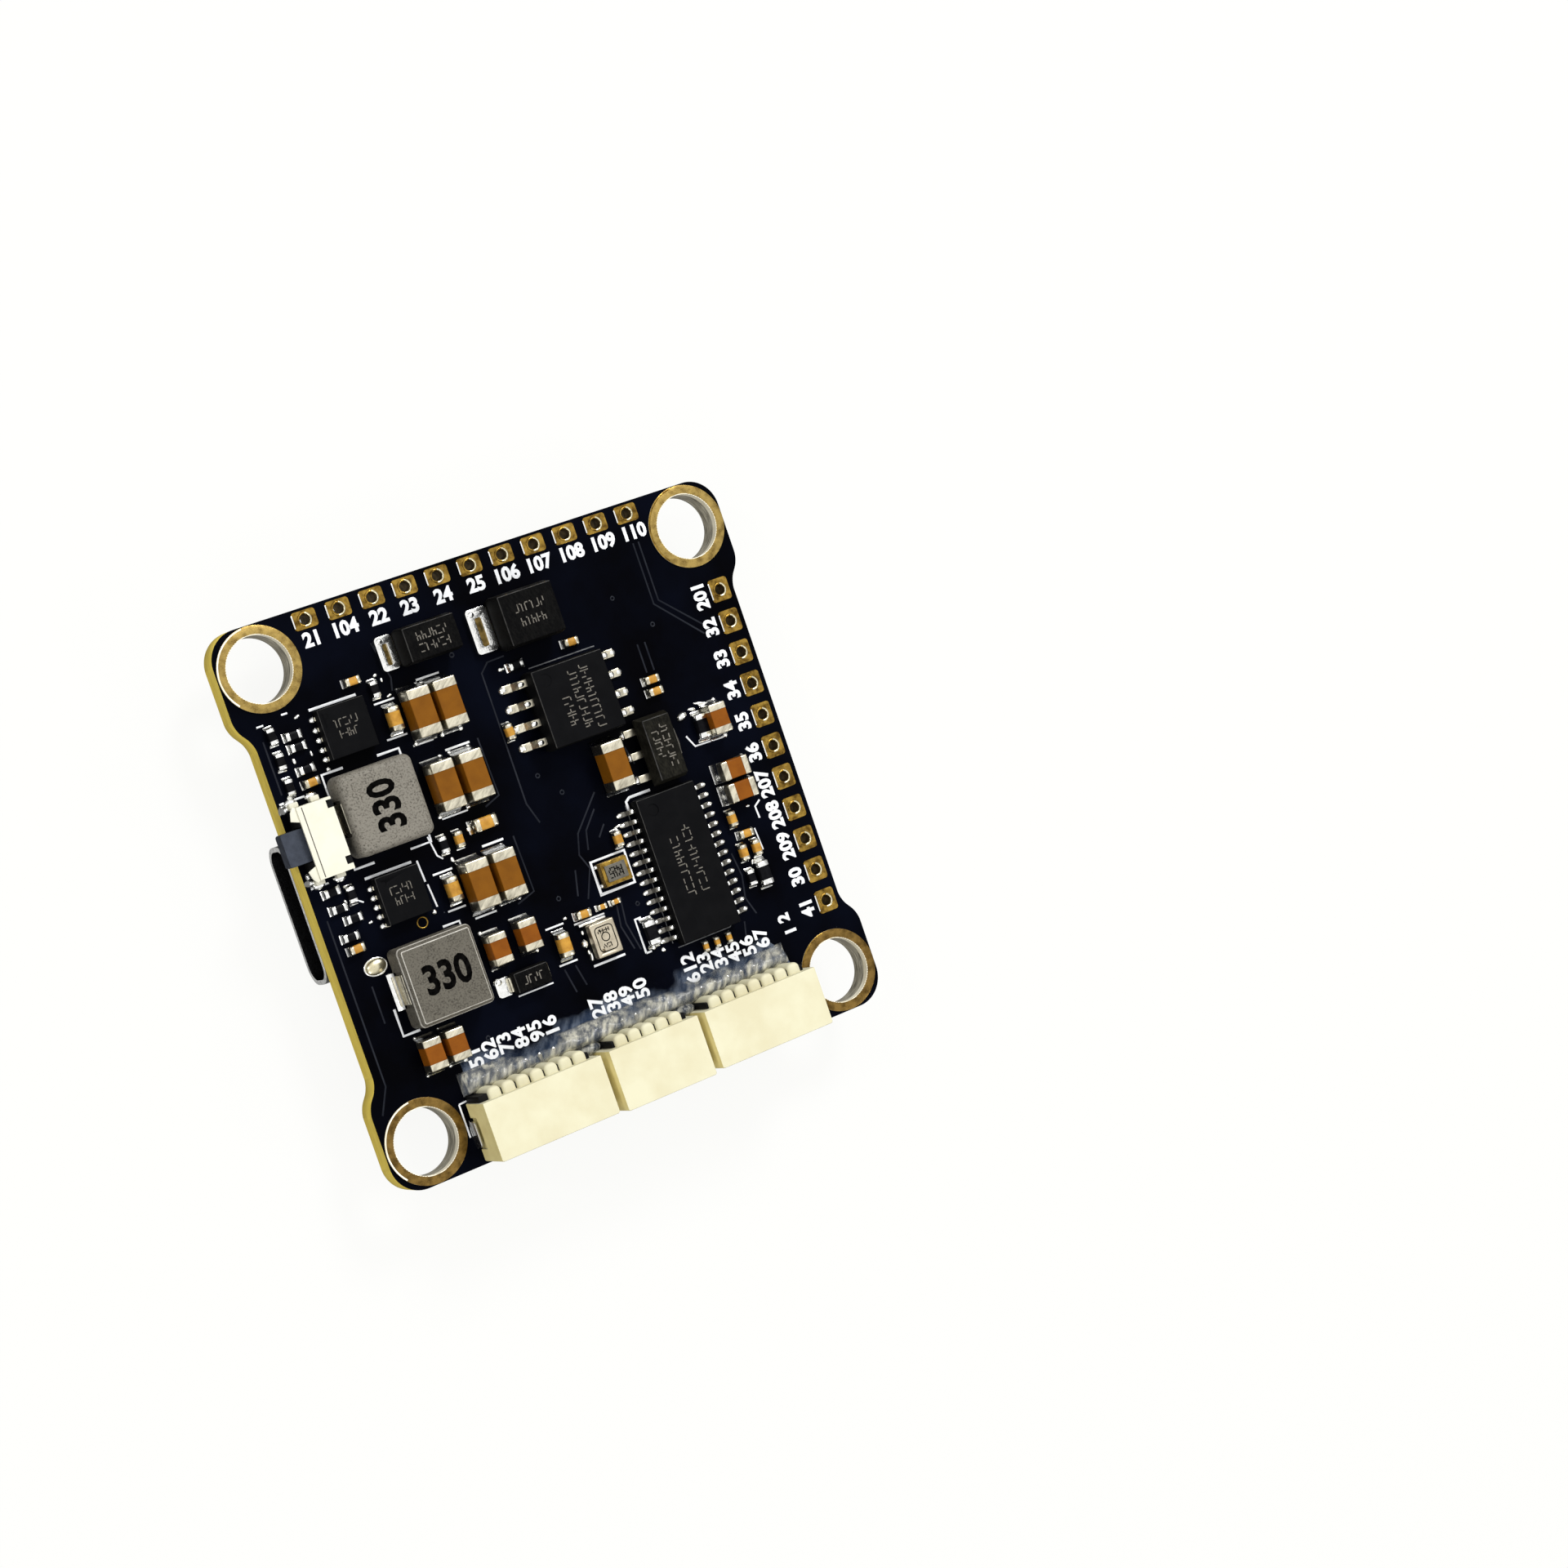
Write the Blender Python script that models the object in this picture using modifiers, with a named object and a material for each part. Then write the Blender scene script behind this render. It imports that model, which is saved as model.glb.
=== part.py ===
"""Flight controller board: a 36 mm square circuit board with its sockets, boot button, chips and capacitors.

Metres, +Z up. The origin is under the middle of the board, at the height of the USB socket's underside.
+Y is the edge with the row of eleven wire pads, -Y the edge with the three wire sockets, and -X the edge
with the USB socket and the boot button.
"""

import math

import bmesh
import bpy
from mathutils import Matrix, Vector

MM = 0.001

# Board
BOARD_SIDE = 36.0 * MM
BOARD_THICKNESS = 1.6 * MM
SIDE_RECESS = 0.9 * MM
RECESS_FROM = 12.2 * MM
RECESS_TO = 11.0 * MM
RECESS_STEPS = 4
CORNER_RADIUS = 2.0 * MM
CORNER_STEPS = 6

# Mounting holes
HOLE_PITCH = 30.5 * MM
HOLE_DIAMETER = 4.2 * MM
PLATING_RING_DIAMETER = 5.4 * MM
PLATING_THICKNESS = 0.06 * MM
HOLE_SEGMENTS = 24

# Wire pads along the +Y and +X edges
PADS_PER_EDGE = 11
PAD_HOLE_DIAMETER = 0.7 * MM
PAD_HOLE_SEGMENTS = 8
TOP_ROW_Y = 17.25 * MM
TOP_ROW_PITCH = 2.29 * MM
RIGHT_ROW_X = 16.06 * MM
RIGHT_ROW_PITCH = 2.14 * MM

# Clearances
SOLDER_GAP = 0.04 * MM
LOOSE_GAP = 0.05 * MM

# USB socket, under the -X edge
USB_WIDTH = 8.94 * MM
USB_HEIGHT = 3.16 * MM
USB_LENGTH = 7.3 * MM
USB_WALL = 0.3 * MM
USB_CORNER = 1.2 * MM
USB_CENTRE_Y = 0.2 * MM
USB_BACK_DEPTH = 2.2 * MM
TONGUE_WIDTH = 6.7 * MM
TONGUE_HEIGHT = 0.7 * MM
TONGUE_FRONT_SETBACK = 1.0 * MM

# Wire sockets along the -Y edge
SOCKET_HEIGHT = 2.9 * MM
SOCKET_BACK_Y = -14.05 * MM
SOCKET_MOUTH_DEPTH = 3.0 * MM
SOCKET_MOUTH_HEIGHT = 1.9 * MM
SOCKET_SIDE_WALL = 0.55 * MM
CONTACT_PITCH = 1.0 * MM
HUMP_DEPTH = 0.7 * MM
HUMP_HEIGHT = 2.4 * MM
HUMP_ROUND = 0.45 * MM
HUMP_SLOT = 0.16 * MM
TAB_SIZE = Vector((0.18, 1.7, 0.9)) * MM
TAB_SETBACK = 1.0 * MM

# Boot button, on the -X edge
BUTTON_CENTRE_Y = 4.35 * MM
BUTTON_FRONT_X = -16.7 * MM
BUTTON_BASE_SIZE = Vector((2.5, 4.2, 1.55)) * MM
BUTTON_FRONT_WALL = 0.35 * MM
BUTTON_FLOOR = 0.2 * MM
BUTTON_CAVITY_WIDTH = 2.8 * MM
BUTTON_CAVITY_DEPTH = 1.3 * MM
COVER_THICKNESS = 0.15 * MM
COVER_SKIRT = 1.1 * MM
PLUNGER_TIP_X = -18.0 * MM
PLUNGER_TIP_WIDTH = 2.1 * MM
PLUNGER_TIP_HEIGHT = 1.0 * MM
PLUNGER_FLANGE_DEPTH = 0.6 * MM
PLUNGER_FLANGE_WIDTH = 2.6 * MM
PLUNGER_FLANGE_HEIGHT = 1.2 * MM
PLUNGER_TRAVEL = 0.25 * MM
DOME_DIAMETER = 1.2 * MM
DOME_RISE = 0.22 * MM
DOME_THICKNESS = 0.06 * MM
DOME_SEGMENTS = 16

# Hardened glue behind the wire sockets
GLUE_FROM_X = -11.6 * MM
GLUE_TO_X = 12.3 * MM
GLUE_DEPTH = 1.1 * MM
GLUE_HEIGHT = 1.2 * MM
GLUE_LIP = 0.15 * MM

# Heights that follow from the stack
UNDERSIDE = USB_HEIGHT + SOLDER_GAP
TOP = UNDERSIDE + BOARD_THICKNESS
TOP_SEAT = TOP + SOLDER_GAP
USB_MOUTH_X = SIDE_RECESS - BOARD_SIDE / 2

# Name, centre, size in millimetres, edge rounding, finish, for the plain moulded pieces on the top face
TOP_PIECES = [
    ("power_inductor_upper", (-11.14, 5.00), (5.1, 5.2, 2.0), 0.45, "inductor_grey"),
    ("power_inductor_lower", (-11.14, -6.05), (5.1, 5.1, 2.0), 0.30, "inductor_grey"),
    ("buck_converter_upper", (-11.42, 10.17), (3.15, 3.2, 0.85), 0.06, "chip_black"),
    ("buck_converter_lower", (-11.60, -0.57), (2.95, 3.05, 0.85), 0.06, "chip_black"),
    ("flash_memory_chip", (3.28, 7.15), (5.25, 5.2, 1.85), 0.18, "chip_black"),
    ("overlay_chip", (7.18, -5.01), (4.4, 9.7, 1.0), 0.12, "chip_black"),
    ("voltage_regulator", (8.00, 2.43), (2.4, 4.45, 1.5), 0.15, "chip_black"),
    ("protection_diode_small", (-4.80, 13.70), (3.8, 2.4, 2.2), 0.15, "chip_black"),
    ("protection_diode_large", (1.95, 13.15), (4.1, 3.5, 2.3), 0.15, "chip_black"),
    ("schottky_diode", (-5.50, -8.20), (2.5, 1.4, 1.1), 0.10, "chip_black"),
    ("overlay_crystal", (2.38, -3.93), (2.0, 1.6, 0.65), 0.08, "lid_metal"),
    ("pressure_sensor", (0.07, -7.60), (1.85, 2.3, 0.95), 0.08, "lid_metal"),
]

# Centres in millimetres of the ceramic capacitors, and whether each lies along X instead of Y
LARGE_CAPACITOR_SIZE = Vector((1.55, 3.1, 1.6)) * MM
LARGE_CAPACITORS = [
    (-6.65, 9.60), (-4.80, 9.60), (-6.75, 4.85), (-4.75, 4.85), (-6.75, -1.60), (-4.85, -1.60), (4.50, 2.40),
]
MEDIUM_CAPACITOR_SIZE = Vector((1.25, 2.0, 1.25)) * MM
MEDIUM_CAPACITORS = [
    (-6.93, -5.78, False), (-4.76, -5.62, False), (-13.20, -10.35, False), (-11.60, -10.30, False),
    (12.51, 2.93, False), (12.41, -0.44, True), (12.41, -1.93, True),
]
CAPACITOR_ROUND = 0.10 * MM

# Name, centre, size in millimetres, edge rounding, finish, for the pieces on the underside
UNDERSIDE_PIECES = [
    ("main_processor", (2.0, -0.5), (10.0, 10.0, 1.4), 0.12, "chip_black"),
    ("motion_sensor", (-4.8, 8.2), (3.0, 2.5, 0.9), 0.05, "chip_black"),
    ("processor_crystal", (2.6, 9.6), (3.2, 2.5, 0.8), 0.08, "lid_metal"),
    ("logic_regulator", (-6.2, -9.4), (1.6, 2.9, 1.1), 0.10, "chip_black"),
    ("status_light_first", (12.6, 8.6), (0.8, 1.6, 0.6), 0.06, "lamp_clear"),
    ("status_light_second", (12.6, 5.6), (0.8, 1.6, 0.6), 0.06, "lamp_clear"),
]

# Name, first and last X of the housing, front Y, in millimetres, and number of contacts
WIRE_SOCKETS = [
    ("wire_socket_left", (-12.06, -3.70), -17.85, 6),
    ("wire_socket_middle", (-3.12, 3.37), -18.00, 4),
    ("wire_socket_right", (3.89, 12.24), -17.85, 6),
]

# Base colour, roughness and metallic value of each finish
FINISHES = {
    "solder_mask_black": ((0.006, 0.008, 0.014), 0.35, 0.0),
    "gold_plating": ((0.72, 0.48, 0.16), 0.30, 1.0),
    "nickel_steel": ((0.70, 0.69, 0.66), 0.28, 1.0),
    "socket_ivory": ((0.86, 0.80, 0.62), 0.50, 0.0),
    "insert_black": ((0.015, 0.015, 0.016), 0.55, 0.0),
    "plunger_slate": ((0.09, 0.11, 0.15), 0.45, 0.0),
    "chip_black": ((0.014, 0.014, 0.015), 0.60, 0.0),
    "inductor_grey": ((0.27, 0.25, 0.23), 0.70, 0.0),
    "ceramic_brown": ((0.42, 0.17, 0.03), 0.40, 0.0),
    "lid_metal": ((0.55, 0.50, 0.42), 0.35, 1.0),
    "lamp_clear": ((0.80, 0.80, 0.72), 0.20, 0.0),
    "glue_milky": ((0.45, 0.52, 0.60), 0.25, 0.0),
}


def clear_scene():
    for existing in list(bpy.data.objects):
        bpy.data.objects.remove(existing, do_unlink=True)


def new_collection(name):
    collection = bpy.data.collections.new(name)
    bpy.context.scene.collection.children.link(collection)
    return collection


def finish_material(finish):
    """Returns the Principled material of that finish, made on first use."""
    if finish in bpy.data.materials:
        return bpy.data.materials[finish]
    colour, roughness, metallic = FINISHES[finish]
    material = bpy.data.materials.new(finish)
    material.use_nodes = True
    shader = material.node_tree.nodes["Principled BSDF"]
    shader.inputs["Base Color"].default_value = (*colour, 1.0)
    shader.inputs["Roughness"].default_value = roughness
    shader.inputs["Metallic"].default_value = metallic
    return material


def add_object(name, mesh, collection, finish=None):
    new = bpy.data.objects.new(name, mesh)
    collection.objects.link(new)
    if finish:
        mesh.materials.append(finish_material(finish))
    return new


def add_box(name, size, centre, collection, finish=None):
    """A plain box about its own middle, placed by its location."""
    shape = bmesh.new()
    bmesh.ops.create_cube(shape, size=1.0)
    bmesh.ops.scale(shape, vec=size, verts=shape.verts)
    mesh = bpy.data.meshes.new(name)
    shape.to_mesh(mesh)
    shape.free()
    box = add_object(name, mesh, collection, finish)
    box.location = centre
    return box


def add_cutter(name, low, high, collection):
    """A box between two corners that only cuts or joins other pieces."""
    low = Vector(low)
    high = Vector(high)
    cutter = add_box(name, high - low, (low + high) / 2, collection)
    cutter.hide_render = True
    cutter.display_type = "WIRE"
    return cutter


def round_edges(piece, width, segments=1):
    bevel = piece.modifiers.new("round_edges", "BEVEL")
    bevel.width = width
    bevel.segments = segments


def combine(piece, other, operation="DIFFERENCE"):
    boolean = piece.modifiers.new(other.name, "BOOLEAN")
    boolean.operation = operation
    boolean.solver = "EXACT"
    boolean.object = other


def arc(centre, radius, first, last, steps):
    """Points on an arc in a plane, from one angle in degrees to another, both ends included."""
    points = []
    for step in range(steps + 1):
        angle = math.radians(first + (last - first) * step / steps)
        points.append((centre[0] + radius * math.cos(angle), centre[1] + radius * math.sin(angle)))
    return points


def circle(centre, radius, segments):
    return arc(centre, radius, 0.0, 360.0, segments)[:-1]


def rounded_rectangle(width, height, radius, steps):
    points = []
    for quarter, (side_x, side_y) in enumerate(((1, 1), (-1, 1), (-1, -1), (1, -1))):
        centre = (side_x * (width / 2 - radius), side_y * (height / 2 - radius))
        points += arc(centre, radius, 90.0 * quarter, 90.0 * quarter + 90.0, steps)
    return points


def add_plate(name, outlines, thickness, place, collection, finish=None):
    """A flat plate from a 2D curve: the first outline is its edge and the others are holes."""
    curve = bpy.data.curves.new(name, "CURVE")
    curve.dimensions = "2D"
    curve.fill_mode = "BOTH"
    curve.extrude = thickness / 2
    for outline in outlines:
        spline = curve.splines.new("POLY")
        spline.points.add(len(outline) - 1)
        for point, (x, y) in zip(spline.points, outline):
            point.co = (x, y, 0.0, 1.0)
        spline.use_cyclic_u = True
    drawn = add_object(name, curve, collection)
    drawn.matrix_world = place
    bpy.context.view_layer.update()
    evaluated = drawn.evaluated_get(bpy.context.evaluated_depsgraph_get())
    mesh = bpy.data.meshes.new_from_object(evaluated)
    shape = bmesh.new()
    shape.from_mesh(mesh)
    bmesh.ops.remove_doubles(shape, verts=shape.verts, dist=0.001 * MM)
    shape.to_mesh(mesh)
    shape.free()
    bpy.data.objects.remove(drawn, do_unlink=True)
    bpy.data.curves.remove(curve)
    plate = add_object(name, mesh, collection, finish)
    plate.matrix_world = place
    return plate


def add_turned(name, profile, segments, closed, place, collection, finish):
    """A profile of radius and height pairs, turned about its own Z axis."""
    shape = bmesh.new()
    points = [shape.verts.new((radius, 0.0, height)) for radius, height in profile]
    for first, second in zip(points, points[1:]):
        shape.edges.new((first, second))
    if closed:
        shape.edges.new((points[-1], points[0]))
    mesh = bpy.data.meshes.new(name)
    shape.to_mesh(mesh)
    shape.free()
    turned = add_object(name, mesh, collection, finish)
    turned.matrix_world = place
    screw = turned.modifiers.new("turn", "SCREW")
    screw.steps = segments
    screw.render_steps = segments
    screw.use_merge_vertices = True
    screw.merge_threshold = 0.001 * MM
    return turned


def facing_x():
    """Turns a flat outline so that it stands in the YZ plane and its thickness runs along X."""
    return Matrix(((0, 0, 1, 0), (1, 0, 0, 0), (0, 1, 0, 0), (0, 0, 0, 1)))


def hole_centres():
    half = HOLE_PITCH / 2
    return {
        "back_left": (-half, half),
        "back_right": (half, half),
        "front_left": (-half, -half),
        "front_right": (half, -half),
    }


def recess_curve():
    """The side's smooth step from the corner ear in to the straight part, for the +X +Y quarter."""
    half = BOARD_SIDE / 2
    points = []
    for step in range(RECESS_STEPS + 1):
        share = step / RECESS_STEPS
        ease = share * share * (3 - 2 * share)
        y = RECESS_TO + (RECESS_FROM - RECESS_TO) * share
        points.append((half - SIDE_RECESS * (1 - ease), y))
    return points


def board_outline():
    half = BOARD_SIDE / 2
    middle = half - CORNER_RADIUS
    corner = arc((middle, middle), CORNER_RADIUS, 0.0, 90.0, CORNER_STEPS)
    quarter = recess_curve() + corner
    mirrored = [(-x, y) for x, y in reversed(quarter)]
    upper = quarter + mirrored
    lower = [(x, -y) for x, y in reversed(upper)]
    return upper + lower


def pad_hole_centres():
    middle = (PADS_PER_EDGE - 1) / 2
    for index in range(PADS_PER_EDGE):
        yield ((index - middle) * TOP_ROW_PITCH, TOP_ROW_Y)
        yield (RIGHT_ROW_X, (index - middle) * RIGHT_ROW_PITCH)


def make_board(parts):
    clear_radius = HOLE_DIAMETER / 2 + 2 * LOOSE_GAP
    outlines = [board_outline()]
    for centre in hole_centres().values():
        outlines.append(circle(centre, clear_radius, HOLE_SEGMENTS))
    for centre in pad_hole_centres():
        outlines.append(circle(centre, PAD_HOLE_DIAMETER / 2, PAD_HOLE_SEGMENTS))
    middle = Matrix.Translation((0, 0, (TOP + UNDERSIDE) / 2))
    add_plate("circuit_board", outlines, BOARD_THICKNESS, middle, parts, "solder_mask_black")


def make_hole_platings(parts):
    """A thin sleeve in each mounting hole, flanged over both faces of the board."""
    bore = HOLE_DIAMETER / 2
    sleeve = bore + LOOSE_GAP
    flange = PLATING_RING_DIAMETER / 2
    high = TOP + SOLDER_GAP + PLATING_THICKNESS
    low = UNDERSIDE - SOLDER_GAP - PLATING_THICKNESS
    profile = [
        (bore, high), (flange, high), (flange, high - PLATING_THICKNESS), (sleeve, high - PLATING_THICKNESS),
        (sleeve, low + PLATING_THICKNESS), (flange, low + PLATING_THICKNESS), (flange, low), (bore, low),
    ]
    for corner, (x, y) in hole_centres().items():
        place = Matrix.Translation((x, y, 0))
        add_turned("hole_plating_" + corner, profile, HOLE_SEGMENTS, True, place, parts, "gold_plating")


def make_usb_socket(parts, cutters):
    outside = rounded_rectangle(USB_WIDTH, USB_HEIGHT, USB_CORNER, 4)
    inner_size = (USB_WIDTH - 2 * USB_WALL, USB_HEIGHT - 2 * USB_WALL)
    inside = rounded_rectangle(*inner_size, USB_CORNER - USB_WALL, 4)
    middle = Vector((USB_MOUTH_X + USB_LENGTH / 2, USB_CENTRE_Y, USB_HEIGHT / 2))
    shell_place = Matrix.Translation(middle) @ facing_x()
    add_plate("usb_socket_shell", [outside, inside], USB_LENGTH, shell_place, parts, "nickel_steel")

    back_end = USB_MOUTH_X + USB_LENGTH
    back_middle = Vector((back_end - USB_BACK_DEPTH / 2, USB_CENTRE_Y, USB_HEIGHT / 2))
    back_outline = rounded_rectangle(
        inner_size[0] - 2 * LOOSE_GAP, inner_size[1] - 2 * LOOSE_GAP, USB_CORNER - USB_WALL - LOOSE_GAP, 4)
    back_place = Matrix.Translation(back_middle) @ facing_x()
    insert = add_plate("usb_socket_insert", [back_outline], USB_BACK_DEPTH, back_place, parts, "insert_black")
    tongue_low = (USB_MOUTH_X + TONGUE_FRONT_SETBACK, USB_CENTRE_Y - TONGUE_WIDTH / 2,
                  (USB_HEIGHT - TONGUE_HEIGHT) / 2)
    tongue_high = (back_end - USB_BACK_DEPTH / 2, USB_CENTRE_Y + TONGUE_WIDTH / 2,
                   (USB_HEIGHT + TONGUE_HEIGHT) / 2)
    combine(insert, add_cutter("tongue", tongue_low, tongue_high, cutters), "UNION")


def hump_outline():
    """Side view of the rounded block behind a wire socket: Y back from the housing, and height."""
    rounded = arc((HUMP_DEPTH - HUMP_ROUND, HUMP_HEIGHT - HUMP_ROUND), HUMP_ROUND, 0.0, 90.0, 3)
    inside = -LOOSE_GAP
    return [(inside, 0.0), (HUMP_DEPTH, 0.0)] + rounded + [(inside, HUMP_HEIGHT)]


def make_wire_socket(name, x_range, front, contacts, parts, cutters):
    low_x, high_x = (value * MM for value in x_range)
    front = front * MM
    centre_x = (low_x + high_x) / 2
    size = Vector((high_x - low_x, SOCKET_BACK_Y - front, SOCKET_HEIGHT))
    centre = Vector((centre_x, (front + SOCKET_BACK_Y) / 2, TOP_SEAT + SOCKET_HEIGHT / 2))
    housing = add_box(name, size, centre, parts, "socket_ivory")

    hump_width = (contacts + 1) * CONTACT_PITCH - HUMP_SLOT
    hump_place = Matrix.Translation((centre_x, SOCKET_BACK_Y, TOP_SEAT)) @ facing_x()
    humps = add_plate(name + "_humps", [hump_outline()], hump_width, hump_place, cutters)
    humps.hide_render = True
    humps.display_type = "WIRE"
    combine(housing, humps, "UNION")

    mouth_middle = TOP_SEAT + SOCKET_HEIGHT / 2
    mouth_low = (low_x + SOCKET_SIDE_WALL, front - 1.0 * MM, mouth_middle - SOCKET_MOUTH_HEIGHT / 2)
    mouth_high = (high_x - SOCKET_SIDE_WALL, front + SOCKET_MOUTH_DEPTH, mouth_middle + SOCKET_MOUTH_HEIGHT / 2)
    combine(housing, add_cutter(name + "_mouth", mouth_low, mouth_high, cutters))

    for index in range(contacts):
        slot_x = centre_x + (index - (contacts - 1) / 2) * CONTACT_PITCH
        slot_low = (slot_x - HUMP_SLOT / 2, SOCKET_BACK_Y + LOOSE_GAP, TOP)
        slot_high = (slot_x + HUMP_SLOT / 2, SOCKET_BACK_Y + 2 * HUMP_DEPTH, TOP + SOCKET_HEIGHT)
        combine(housing, add_cutter(f"{name}_slot_{index + 1}", slot_low, slot_high, cutters))

    for side, edge_x, outward in (("left", low_x, -1), ("right", high_x, 1)):
        tab_centre = Vector((
            edge_x + outward * (LOOSE_GAP + TAB_SIZE.x / 2),
            front + TAB_SETBACK + TAB_SIZE.y / 2,
            TOP_SEAT + TAB_SIZE.z / 2))
        add_box(f"{name}_tab_{side}", TAB_SIZE, tab_centre, parts, "nickel_steel")


def make_boot_button(parts, cutters):
    base_size = BUTTON_BASE_SIZE
    seat = TOP_SEAT
    axis_height = seat + BUTTON_FLOOR + LOOSE_GAP + PLUNGER_FLANGE_HEIGHT / 2
    base_centre = Vector((BUTTON_FRONT_X + base_size.x / 2, BUTTON_CENTRE_Y, seat + base_size.z / 2))
    base = add_box("boot_button_base", base_size, base_centre, parts, "insert_black")
    above = seat + 2 * base_size.z
    cavity_front = BUTTON_FRONT_X + BUTTON_FRONT_WALL
    cavity_back = cavity_front + BUTTON_CAVITY_DEPTH
    cavity = add_cutter(
        "button_cavity",
        (cavity_front, BUTTON_CENTRE_Y - BUTTON_CAVITY_WIDTH / 2, seat + BUTTON_FLOOR),
        (cavity_back, BUTTON_CENTRE_Y + BUTTON_CAVITY_WIDTH / 2, above), cutters)
    slot_half = PLUNGER_TIP_WIDTH / 2 + LOOSE_GAP
    slot = add_cutter(
        "button_slot",
        (BUTTON_FRONT_X - base_size.x, BUTTON_CENTRE_Y - slot_half,
         axis_height - PLUNGER_TIP_HEIGHT / 2 - LOOSE_GAP),
        (cavity_front + LOOSE_GAP, BUTTON_CENTRE_Y + slot_half, above), cutters)
    combine(base, cavity)
    combine(base, slot)

    # The cover is a channel over the top and both ends of the base
    cover_width = base_size.y + 2 * (COVER_THICKNESS + LOOSE_GAP)
    cover_top = seat + base_size.z + LOOSE_GAP + COVER_THICKNESS
    cover_size = Vector((base_size.x - 0.2 * MM, cover_width, COVER_THICKNESS + COVER_SKIRT))
    cover_centre = Vector((base_centre.x, BUTTON_CENTRE_Y, cover_top - cover_size.z / 2))
    cover = add_box("boot_button_cover", cover_size, cover_centre, parts, "nickel_steel")
    channel = add_cutter(
        "cover_channel",
        (BUTTON_FRONT_X - base_size.x, BUTTON_CENTRE_Y - base_size.y / 2 - LOOSE_GAP, seat),
        (BUTTON_FRONT_X + 2 * base_size.x, BUTTON_CENTRE_Y + base_size.y / 2 + LOOSE_GAP,
         cover_top - COVER_THICKNESS), cutters)
    combine(cover, channel)

    # The plunger's own origin is on its sliding axis, at its tip
    flange_front = cavity_front + LOOSE_GAP
    tip_length = flange_front + PLUNGER_FLANGE_DEPTH / 2 - PLUNGER_TIP_X
    plunger = add_box(
        "boot_button_plunger", Vector((tip_length, PLUNGER_TIP_WIDTH, PLUNGER_TIP_HEIGHT)),
        Vector((PLUNGER_TIP_X + tip_length / 2, BUTTON_CENTRE_Y, axis_height)), parts, "plunger_slate")
    flange = add_cutter(
        "plunger_flange",
        (flange_front, BUTTON_CENTRE_Y - PLUNGER_FLANGE_WIDTH / 2, axis_height - PLUNGER_FLANGE_HEIGHT / 2),
        (flange_front + PLUNGER_FLANGE_DEPTH, BUTTON_CENTRE_Y + PLUNGER_FLANGE_WIDTH / 2,
         axis_height + PLUNGER_FLANGE_HEIGHT / 2), cutters)
    plunger.data.transform(Matrix.Translation((tip_length / 2, 0, 0)))
    plunger.location.x = PLUNGER_TIP_X
    combine(plunger, flange, "UNION")

    # The snap dome's crown faces the plunger and clears it when it is pressed home
    crown_x = flange_front + PLUNGER_FLANGE_DEPTH + PLUNGER_TRAVEL + LOOSE_GAP
    radius = DOME_DIAMETER / 2
    outer = [(radius * share, DOME_RISE * (1 - share * share)) for share in (0.0, 0.4, 0.75, 1.0)]
    inner = [(reach, height - DOME_THICKNESS) for reach, height in reversed(outer)]
    dome_place = (Matrix.Translation((crown_x + DOME_RISE, BUTTON_CENTRE_Y, axis_height))
                  @ Matrix.Rotation(math.radians(-90), 4, "Y"))
    add_turned("boot_button_dome", outer + inner, DOME_SEGMENTS, False, dome_place, parts, "nickel_steel")


def make_pieces_on_top(parts):
    for name, (x, y), size, edge, finish in TOP_PIECES:
        size = Vector(size) * MM
        centre = Vector((x * MM, y * MM, TOP_SEAT + size.z / 2))
        piece = add_box(name, size, centre, parts, finish)
        round_edges(piece, edge * MM)


def make_pieces_underneath(parts):
    for name, (x, y), size, edge, finish in UNDERSIDE_PIECES:
        size = Vector(size) * MM
        centre = Vector((x * MM, y * MM, UNDERSIDE - SOLDER_GAP - size.z / 2))
        piece = add_box(name, size, centre, parts, finish)
        round_edges(piece, edge * MM)


def make_capacitors(parts):
    for number, (x, y) in enumerate(LARGE_CAPACITORS, start=1):
        centre = Vector((x * MM, y * MM, TOP_SEAT + LARGE_CAPACITOR_SIZE.z / 2))
        piece = add_box(f"large_capacitor_{number}", LARGE_CAPACITOR_SIZE, centre, parts, "ceramic_brown")
        round_edges(piece, CAPACITOR_ROUND)
    for number, (x, y, along_x) in enumerate(MEDIUM_CAPACITORS, start=1):
        centre = Vector((x * MM, y * MM, TOP_SEAT + MEDIUM_CAPACITOR_SIZE.z / 2))
        piece = add_box(f"medium_capacitor_{number}", MEDIUM_CAPACITOR_SIZE, centre, parts, "ceramic_brown")
        if along_x:
            piece.rotation_euler.z = math.pi / 2
        round_edges(piece, CAPACITOR_ROUND)


def make_glue(parts):
    """A bead of hardened glue along the backs of the wire sockets."""
    outline = [
        (0.0, 0.0), (GLUE_DEPTH, 0.0), (GLUE_DEPTH, GLUE_LIP), (GLUE_DEPTH / 2, GLUE_HEIGHT * 0.8),
        (0.0, GLUE_HEIGHT),
    ]
    near = SOCKET_BACK_Y + HUMP_DEPTH + LOOSE_GAP
    place = Matrix.Translation(((GLUE_FROM_X + GLUE_TO_X) / 2, near, TOP_SEAT)) @ facing_x()
    add_plate("glue_bead", [outline], GLUE_TO_X - GLUE_FROM_X, place, parts, "glue_milky")


def main():
    clear_scene()
    parts = new_collection("flight_controller_board")
    cutters = new_collection("cutters")
    make_board(parts)
    make_hole_platings(parts)
    make_usb_socket(parts, cutters)
    for name, x_range, front, contacts in WIRE_SOCKETS:
        make_wire_socket(name, x_range, front, contacts, parts, cutters)
    make_boot_button(parts, cutters)
    make_pieces_on_top(parts)
    make_capacitors(parts)
    make_glue(parts)
    make_pieces_underneath(parts)


main()
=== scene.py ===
import math
import random

import bpy
from mathutils import Matrix, Quaternion, Vector


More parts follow.
